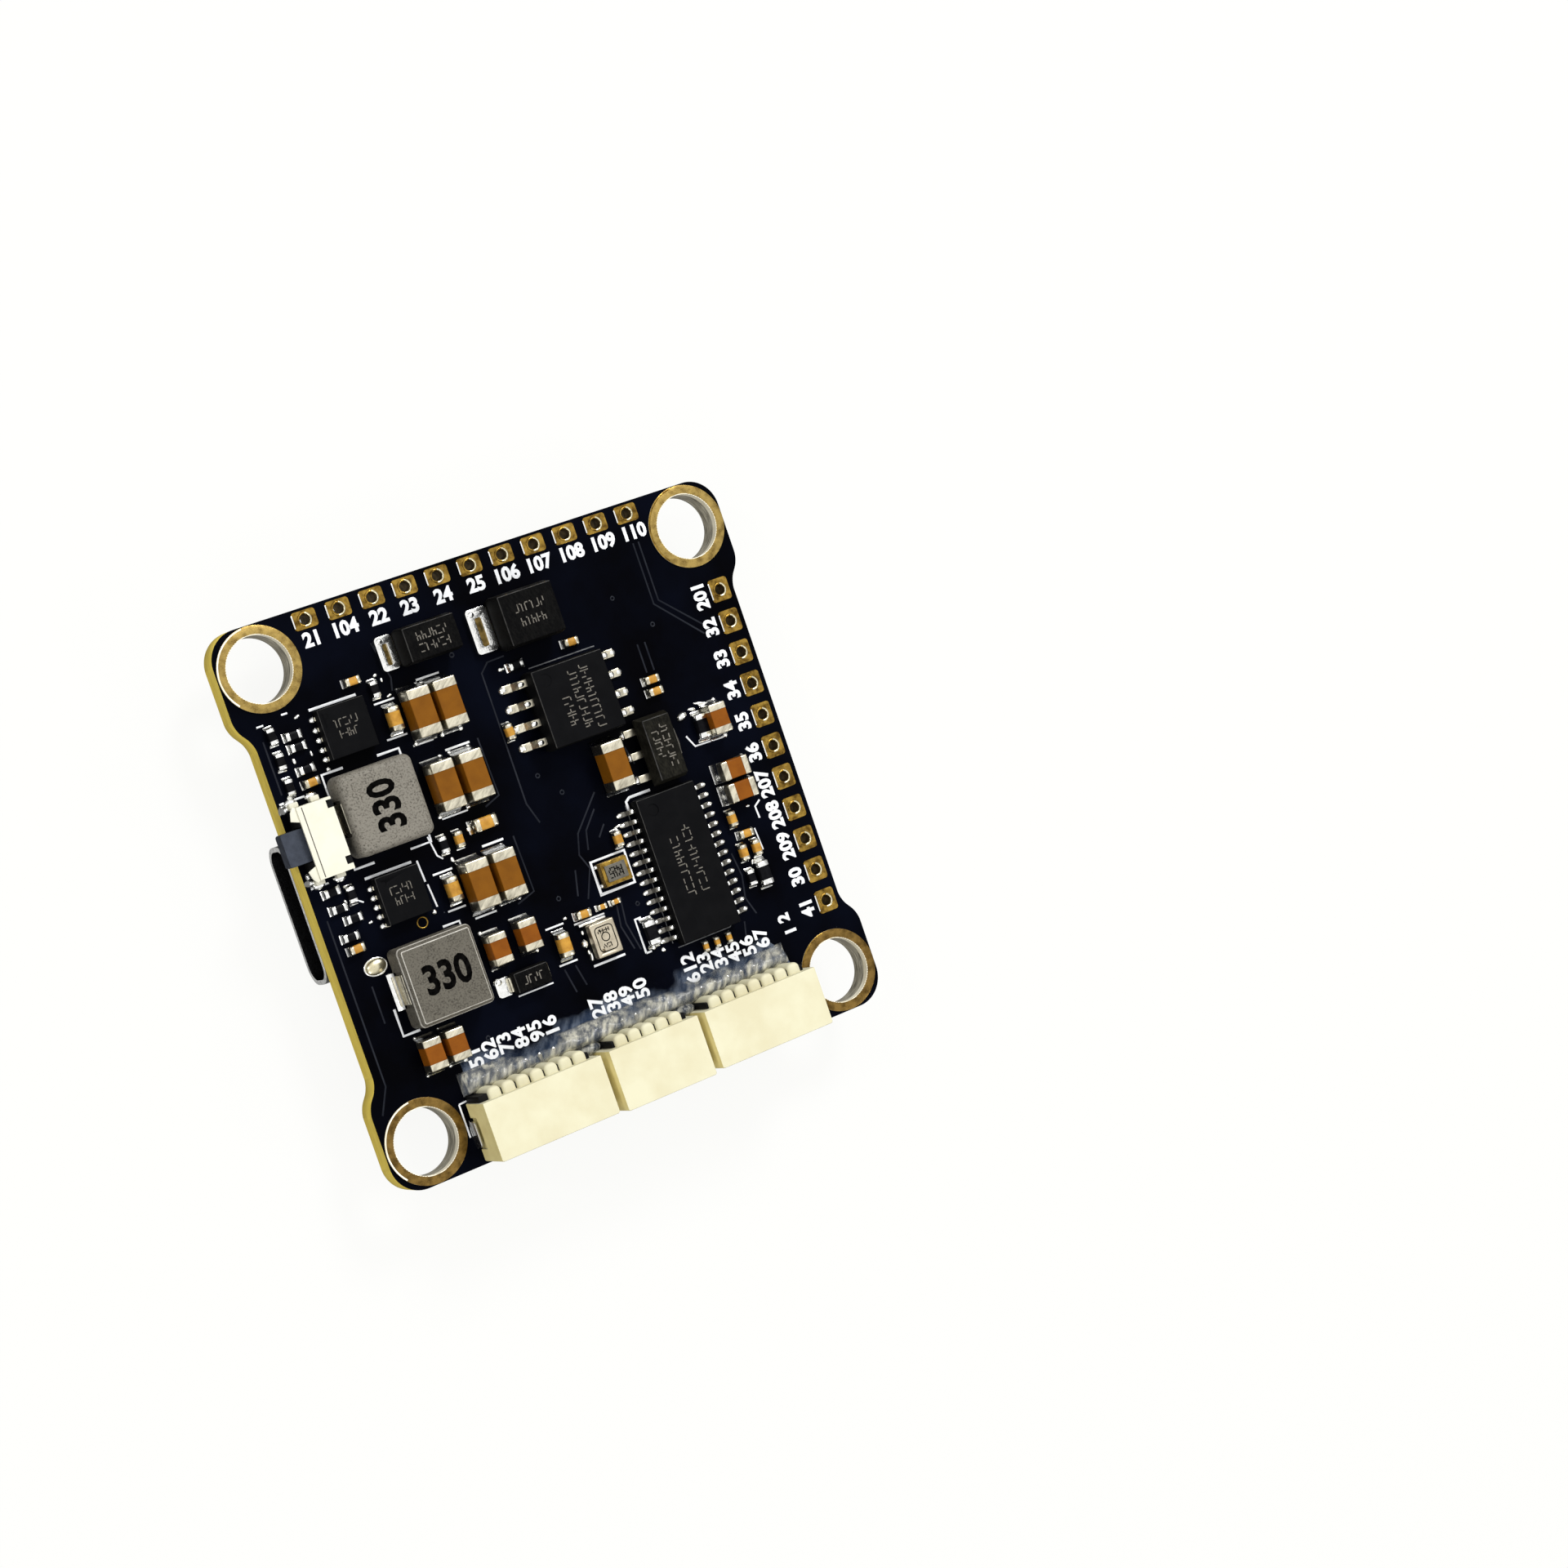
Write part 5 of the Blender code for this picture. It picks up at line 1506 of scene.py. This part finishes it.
def makeUsb():
    shape = usbShape
    low, high = nodeBox("usb_socket_shell")
    centre = (low + high) / 2
    width, height = high.y - low.y, high.z - low.z
    outside = roundedRectangle(centre.y, centre.z, width, height, shape["corner"], 12)
    inside = roundedRectangle(centre.y, centre.z, width - 2 * shape["wall"], height - 2 * shape["wall"],
                              shape["corner"] - shape["wall"], 12)
    shell = plate("usbSocketShell", [outside, inside], low.x, high.x, "shellSteelPaintedShade", "X")
    for y in (-2.1, 2.1):
        cutAway(shell, block("latch", (low.x + 2.5, centre.y + y - 0.35, low.z - 0.5),
                             (low.x + 4.1, centre.y + y + 0.35, low.z + 0.5), "shellSteelPaintedShade"))
    slicePiece(shell, (low.x + 0.14, 0, 0), (1, 0, 0))
    rear = high.x - shape["rearBand"]
    slicePiece(shell, (rear, 0, 0), (1, 0, 0))
    roundAll(shell, 0.07, 3, 45)
    # faces left in the first finish, inside the shell, are a darker copy of the steel: painted shade inside
    # the opening
    paintWhere(shell, "nickel", lambda middle, facing: middle.x > rear)
    paintWhere(shell, "shellOuter", lambda middle, facing: middle.x < rear and (
        facing.y * (middle.y - centre.y) + facing.z * (middle.z - centre.z) > 0.1))
    # the front faces of the shell's wall are painted white as a highlight
    paintWhere(shell, "rimBright", lambda middle, facing: facing.x < -0.5)
    parts = [shell]
    for x in (low.x + 1.4, low.x + 5.6):
        for side in (-1, 1):
            y = centre.y + side * (width / 2 - 0.02)
            near, far = sorted((y, y + side * shape["legOut"]))
            parts.append(slab("leg", (x - shape["legHalf"], near, centre.z),
                              (x + shape["legHalf"], far, underFace - 0.02), "nickel", 0.04))
            drop = blob(x, y + side * 0.25, 0, (0.70, 0.45, 0.22), "solder")
            drop.data.transform(Matrix.Translation((0, 0, underFace * mm))
                                @ Matrix.Rotation(math.pi, 4, "X")
                                @ Matrix.Translation((0, -2 * (y + side * 0.25) * mm, 0)))
            parts.append(drop)
    keep(joined("usbSocketShell", parts), ["usb_socket_shell"])
    inner = (width - 2 * shape["wall"] - 0.1, height - 2 * shape["wall"] - 0.1)
    back = plate("usbSocketInsert",
                 [roundedRectangle(centre.y, centre.z, *inner, shape["corner"] - shape["wall"] - 0.05, 8)],
                 high.x - shape["backDepth"], high.x, "nylonBlack", "X")
    tongue = block("tongue", (low.x + shape["setback"], centre.y - shape["tongueWidth"] / 2,
                              centre.z - shape["tongueHeight"] / 2),
                   (high.x - shape["backDepth"] / 2, centre.y + shape["tongueWidth"] / 2,
                    centre.z + shape["tongueHeight"] / 2), "tongueGrey")
    choose(tongue, "EDGE", lambda middle, along: upright(middle, along) and middle.x < low.x + 2)
    bevelChosen(0.35, 4)
    cutAway(back, tongue, "UNION")
    roundAll(back, 0.04, 2)
    parts = [back]
    thick, contactHalf = shape["contactThick"], shape["contactHalf"]
    spots = evenly(shape["contacts"], shape["contactPitch"], centre.y)
    for y in spots:
        for side in (1, -1):
            level = centre.z + side * shape["tongueHeight"] / 2 - thick / 2
            parts.append(slab("contact", (low.x + shape["contactFrom"], y - contactHalf, level),
                              (low.x + shape["contactTo"], y + contactHalf, level + thick), "gold", 0.012, 1))
    tail = plate("tail", [shape["tail"]], -contactHalf, contactHalf, "tin", "Y")
    parts += stamped(tail, [(high.x - 0.05, y, underFace - 0.16) for y in spots])
    keep(joined("usbSocketInsert", parts), ["usb_socket_insert"])


makeUsb()
print("usb socket made")


# Printed marks, traces and loose drops of solder on the top face

inkLevel = topFace + 0.012
padLabels = ["21", "104", "22", "23", "24", "25", "106", "107", "108", "109", "110"]
columnLabels = ["201", "32", "33", "34", "35", "36", "207", "208", "209", "30", "41"]
socketLabels = {
    -7.70: ["51", "62", "73", "84", "95", "16"], 0.0: ["27", "38", "49", "50"],
    8.05: ["612", "23", "34", "45", "56", "67"],
}
labelShape = {"size": 1.24, "weight": 0.055, "squeeze": 0.98, "rowY": 15.95, "columnX": 14.62,
              "socketY": -11.50, "socketSize": 1.28, "socketPitch": 1.09, "socketWeight": 0.042,
              "socketSqueeze": 1.02, "sway": 0.1}
inkRise = {"whiteInk": (0.005, 0.022), "faintInk": (0.004, 0.015)}  # start above the board, and height
traceShape = {"width": 0.11, "lift": 0.002, "height": 0.012}
ovalPad = {"place": (-14.55, -4.15), "radii": (0.72, 0.50, 0.30), "rim": 0.52, "stretch": (1.45, 1.02)}
whiteLines = [  # points, width
    ([(-13.15, 11.92), (-9.95, 11.92)], 0.17),  # over the upper buck converter
    ([(-13.35, 1.10), (-10.15, 1.10)], 0.17),
    ([(-9.78, 1.05), (-9.70, -0.35)], 0.13), ([(-9.62, -0.55), (-9.50, -2.05)], 0.12),
    ([(-12.3, 7.95), (-13.75, 7.95), (-13.75, 1.85), (-12.4, 1.85)], 0.17),  # round the upper inductor
    ([(-9.95, 7.95), (-8.45, 7.95), (-8.45, 7.2)], 0.17), ([(-9.9, 1.85), (-8.45, 1.85), (-8.45, 2.3)], 0.14),
    ([(-14.35, -7.0), (-14.35, -8.75), (-13.2, -8.75)], 0.17),
    ([(-9.6, -3.35), (-8.45, -3.35), (-8.45, -4.6)], 0.15), ([(-8.42, -5.6), (-8.42, -8.6)], 0.12),
    ([(1.15, -5.05), (1.15, -2.90), (3.62, -2.90), (3.62, -5.05), (1.05, -5.05)], 0.20),  # crystal
    ([(4.85, -0.75), (4.85, -0.10), (5.15, 0.10), (6.7, 0.10)], 0.18),
    ([(-0.95, -9.10), (1.35, -9.10)], 0.15), ([(-1.3, -6.2), (0.9, -6.2)], 0.12),
    ([(-6.4, -9.10), (-3.9, -9.10)], 0.10),
    ([(-9.05, 10.95), (-7.65, 10.95)], 0.12), ([(-9.0, 8.62), (-7.6, 8.62)], 0.12),
    ([(-9.1, -0.15), (-7.75, -0.15)], 0.13), ([(-8.95, -2.60), (-7.7, -2.60)], 0.12),
    ([(-3.25, -5.85), (-1.95, -5.85)], 0.12), ([(-3.15, -8.30), (-1.85, -8.30)], 0.12),
    ([(2.75, -9.55), (2.75, -7.30), (3.2, -7.30)], 0.15), ([(2.75, -9.55), (3.15, -9.55)], 0.13),
    ([(-5.9, 11.55), (-4.3, 11.55)], 0.13), ([(-7.5, 7.75), (-6.1, 7.75)], 0.11),
    ([(-5.6, 6.85), (-3.9, 6.85)], 0.14), ([(-7.3, 2.90), (-5.5, 2.90)], 0.11),
    ([(-5.4, 0.45), (-3.9, 0.45)], 0.15), ([(-7.4, -3.6), (-5.9, -3.6)], 0.12),
    ([(-8.6, 2.2), (-8.4, 0.9), (-8.1, 0.6)], 0.11),
    ([(-12.45, -13.95), (-12.45, -16.1)], 0.12), ([(-12.45, -13.95), (-11.2, -13.85)], 0.11),
    ([(13.85, -3.0), (13.40, -3.3), (13.45, -4.1)], 0.13), ([(12.85, -4.6), (12.95, -6.1)], 0.10),
    ([(10.35, 2.5), (10.75, 1.7), (13.0, 1.65)], 0.12), ([(-14.5, 12.2), (-14.9, 12.2)], 0.12),
    ([(-16.65, 11.95), (-16.2, 11.95)], 0.11), ([(-16.9, 7.1), (-15.2, 7.1)], 0.13),
    ([(-16.8, 1.65), (-15.6, 1.65)], 0.12), ([(-14.25, 0.05), (-13.9, -0.2)], 0.10),
    ([(4.0, 14.75), (4.15, 13.2)], 0.09),
]
faintLines = [
    ([(1.5, 9.92), (6.3, 9.92)], 0.08), ([(-2.6, 14.9), (-2.45, 12.6)], 0.10),
    ([(4.18, 14.2), (4.25, 12.4)], 0.12), ([(4.98, -9.98), (8.9, -9.98), (9.5, -9.5)], 0.07),
    ([(4.72, -0.3), (4.72, -9.6)], 0.06),
]
traces = [
    [(11.25, 15.3), (11.25, 11.2), (14.0, 8.35)], [(11.65, 15.3), (11.65, 11.35), (14.1, 8.95)],
    [(9.20, 9.10), (9.20, 7.20)], [(9.75, 9.10), (9.75, 7.20)],
    [(0.2, 11.2), (-1.0, 11.15), (-1.6, 10.6), (-1.65, 2.0), (-1.2, 0.6)],
    [(3.0, 1.2), (1.0, -0.9), (0.6, -2.2), (1.0, -3.2), (0.2, -5.0)],
    [(2.6, 0.2), (1.6, -0.9), (1.3, -2.1)], [(2.9, -0.9), (2.3, -1.6)],
    [(1.9, -6.0), (1.7, -7.4), (2.1, -9.0)], [(2.3, -5.6), (2.1, -7.3), (2.5, -9.2)],
    [(-2.9, -8.6), (-2.6, -10.2)], [(-2.1, -8.6), (-1.8, -10.0)], [(0.0, -3.0), (-0.4, -4.6)],
    [(-16.55, 11.0), (-16.55, 7.6)], [(-16.5, -0.5), (-16.5, -11.2), (-17.3, -12.8)],
    [(11.0, -9.8), (10.6, -8.6), (10.9, -7.2), (10.7, -5.6)], [(-7.9, 14.6), (-7.4, 12.2), (-7.6, 11.4)],
    [(-3.3, 6.9), (-3.2, 3.1), (-4.3, 2.7)], [(-3.2, 0.4), (-3.1, -3.3), (-4.4, -3.7)],
    [(-15.2, -5.2), (-15.2, -7.6)], [(6.0, 3.2), (6.3, 2.0)], [(10.0, -10.0), (9.7, -11.2), (10.4, -12.0)],
]
looseDrops = [  # X, Y, and radii along X, Y and up
    (-13.2, 8.15, 0.16, 0.14, 0.12), (10.50, 3.80, 0.42, 0.26, 0.25), (11.35, 4.02, 0.30, 0.13, 0.14),
    (12.3, 4.12, 0.75, 0.13, 0.16), (-8.35, 12.65, 0.16, 0.12, 0.10), (-8.05, 12.25, 0.10, 0.16, 0.10),
    (-7.9, 11.2, 0.22, 0.10, 0.12), (-5.6, 11.3, 0.20, 0.14, 0.12), (-0.3, 10.45, 0.24, 0.16, 0.16),
    (0.35, 10.45, 0.13, 0.20, 0.12), (-5.85, 1.75, 0.22, 0.18, 0.16), (-7.55, 0.35, 0.14, 0.18, 0.12),
    (-16.95, 6.75, 0.16, 0.34, 0.22), (-16.7, 2.35, 0.22, 0.32, 0.22), (-1.0, -7.55, 0.30, 0.30, 0.26),
    (-0.85, -8.45, 0.16, 0.34, 0.20), (-1.75, -5.6, 0.16, 0.12, 0.12), (3.75, -1.35, 0.34, 0.09, 0.10),
    (3.35, -9.35, 0.16, 0.22, 0.14), (3.95, -9.75, 0.18, 0.16, 0.14), (12.9, -3.1, 0.16, 0.10, 0.10),
    (12.75, -7.0, 0.10, 0.26, 0.12), (11.9, -6.6, 0.10, 0.20, 0.12), (-14.0, 11.8, 0.24, 0.12, 0.12),
    (-15.1, 9.3, 0.14, 0.22, 0.12), (-13.9, 9.4, 0.10, 0.20, 0.10), (-15.0, 0.2, 0.12, 0.18, 0.12),
    (-13.9, -1.5, 0.18, 0.10, 0.10), (-9.8, -2.3, 0.18, 0.18, 0.14),
]
viaPlaces = [
    (-10.75, -2.65, 0.34), (-3.1, 12.3, 0.14), (8.6, 12.4, 0.12), (-0.3, 3.4, 0.13), (0.9, 1.9, 0.13),
    (-1.7, -4.3, 0.13), (-9.2, -10.8, 0.13), (10.7, 10.0, 0.13), (3.3, -6.4, 0.12),
]


def makeMarks():
    shape = labelShape
    sway = shape["sway"]
    labels = []
    for (x, y), text in zip(rowPlaces, padLabels):
        x += random.uniform(-sway, sway)
        labels.append(printed(text, shape["size"], x, shape["rowY"], inkLevel, 0, "whiteInk",
                              shape["weight"], shape["squeeze"]))
    for (x, y), text in zip(columnPlaces, columnLabels):
        labels.append(printed(text, shape["size"], shape["columnX"], y, inkLevel, 90, "whiteInk",
                              shape["weight"], shape["squeeze"]))
    for middle, words in socketLabels.items():
        for x, text in zip(evenly(len(words), shape["socketPitch"], middle), words):
            y = shape["socketY"] + random.uniform(-sway, sway)
            labels.append(printed(text, shape["socketSize"], x, y, inkLevel + 0.05, 90, "whiteInk",
                                  shape["socketWeight"], shape["socketSqueeze"]))
    for text, x, y in (("2", 12.75, -10.75), ("1", 12.95, -11.70)):
        labels.append(printed(text, 1.1, x, y, inkLevel, 90, "whiteInk", 0.05))
    for table, finish in ((whiteLines, "whiteInk"), (faintLines, "faintInk")):
        lift, height = inkRise[finish]
        labels += [line(points, width, topFace + lift, finish, height) for points, width in table]
    keep(joined("printedMarks", labels))
    width, base = traceShape["width"], topFace + traceShape["lift"]
    strips = [line(points, width, base, "maskedTrace", traceShape["height"]) for points in traces]
    keep(joined("maskedTraces", strips))
    drops = [blob(x, y, topFace, (rx, ry, rz), "solder", 14, 8, random.uniform(-20, 20))
             for x, y, rx, ry, rz in looseDrops]
    keep(joined("solderDrops", drops))
    rings = []
    for x, y, radius in viaPlaces:
        finish = "gold" if radius > 0.2 else "maskedTrace"
        rings.append(line(circlePoints(x, y, radius, 16), 0.08, topFace + 0.004, finish, 0.014, True))
    # a large oval test pad, heaped with solder
    (x, y), (across, along) = ovalPad["place"], ovalPad["stretch"]
    oval = blob(x, y, topFace, ovalPad["radii"], "paleGoldAndPaintedHighlight", 24, 12, 8)
    outline = [(u * across + x, v * along + y) for u, v in circlePoints(0, 0, ovalPad["rim"], 24)]
    rim = line(outline, 0.12, topFace + 0.01, "solder", 0.05, True)
    keep(joined("vias", rings + [oval, rim]))


makeMarks()
print("printed marks, traces and solder drops made")


# Underside parts, guessed

def flipUnder(piece):
    # turns a piece made on the top face over about the middle of the board, keeping its Y
    middle = (topFace + underFace) / 2
    piece.data.transform(Matrix.Translation((0, 0, 2 * middle * mm)) @ Matrix.Rotation(math.pi, 4, "Y"))
    return piece


processorShape = {"leads": 16, "pitch": 0.5, "taper": 0.10, "edge": 0.06, "rows": (1.2, 0.2, -0.8)}


def makeProcessor():
    shape = processorShape
    low, high = nodeBox("main_processor")
    centre = (low + high) / 2
    body = makeMoulding("main_processor", shape["taper"], shape["edge"])
    parts = [pressDimple(body, low.x + 0.9, high.y - 0.9, low.z, 0.35, 0.05, 24)]
    lead = makeLead(0.22, 0.95, 0.75, 0.12, 0.42, 0.15)
    toe = blob(0.85, 0, 0, (0.20, 0.13, 0.12), "solder")
    reach = (high.x - low.x) / 2 - 0.02
    places = []
    for turn in (0, 90, 180, 270):
        for along in evenly(shape["leads"], shape["pitch"]):
            away = Matrix.Rotation(math.radians(turn), 3, "Z") @ Vector((reach, along, 0))
            places.append((-centre.x + away.x, centre.y + away.y, topFace + 0.02, turn))
    parts += [flipUnder(twin) for twin in stamped(joined("lead", [lead, toe]), places)]
    for shift in shape["rows"]:
        row = scribble(-centre.x, centre.y + shift, 0, 12, 0.42, 0.62, topFace + underFace - low.z)
        parts.append(flipUnder(row))
    keep(joined("mainProcessor", parts), ["main_processor"])


underChips = [  # node, finish, slot, how far the sides lean in, and drops of solder along each side
    ("motion_sensor", "mouldedBlack", "chip_moulding", 0.02, 4),
    ("logic_regulator", "mouldedBlack", "chip_moulding", 0.06, 3),
    ("processor_crystal", "lidMetal", "lid_metal", 0.04, 2),
    ("status_light_first", "lampResin", "lamp_clear", 0.03, 2),
    ("status_light_second", "lampResin", "lamp_clear", 0.03, 2),
]


def makeUnderChip(node, finish, slotName, taper, dropsAlong):
    low, high = nodeBox(node)
    centre = (low + high) / 2
    parts = [makeMoulding(node, taper, 0.05, 0.5, finish)]
    pitch = (high.y - low.y) * 0.8 / max(dropsAlong - 1, 1)
    half = (high.x - low.x) / 2 + 0.02
    places = [(-centre.x + side * half, y, 0)
              for side in (-1, 1) for y in evenly(dropsAlong, pitch, centre.y)]
    drop = blob(0, 0, topFace, (0.20, 0.15, 0.14), "solder")
    parts += [flipUnder(twin) for twin in stamped(drop, places)]
    if slotName == "chip_moulding":
        row = scribble(-centre.x, centre.y, 0, 5, 0.30, 0.5, topFace + underFace - low.z)
        parts.append(flipUnder(row))
    keep(joined(plainName(node), parts), [node])


underParts = [
    (-8.6, 3.6, 0, "slim"), (-8.6, 1.9, 0, "slim"), (-8.6, 0.2, 0, "slim"), (-8.6, -1.5, 0, "slim"),
    (4.8, 2.4, 0, "slim"), (4.8, 0.8, 0, "slim"), (4.8, -0.8, 0, "slim"), (4.8, -2.4, 0, "slim"),
    (-1.0, -7.4, 90, "slim"), (-3.0, -7.4, 90, "slim"), (1.0, -7.4, 90, "slim"),
    (-11.0, -8.0, 0, "wide"), (-9.4, -8.0, 0, "wide"), (6.3, 10.6, 90, "slim"), (8.0, 7.6, 90, "slim"),
]


def makeUnderside():
    makeProcessor()
    for row in underChips:
        makeUnderChip(*row)
    patterns = {}
    for case in ("wide", "slim"):
        look = smallCases[case]
        patterns[case] = makeChipPart(look["size"], look["cap"], smallDip, "smallCeramic", 1, look["reach"])
    copies = [flipUnder(copyAt(patterns[case], x, y, topFace + seat, turn))
              for x, y, turn, case in underParts]
    discard(*patterns.values())
    keep(joined("undersideCapacitors", copies))


makeUnderside()
print("underside made")
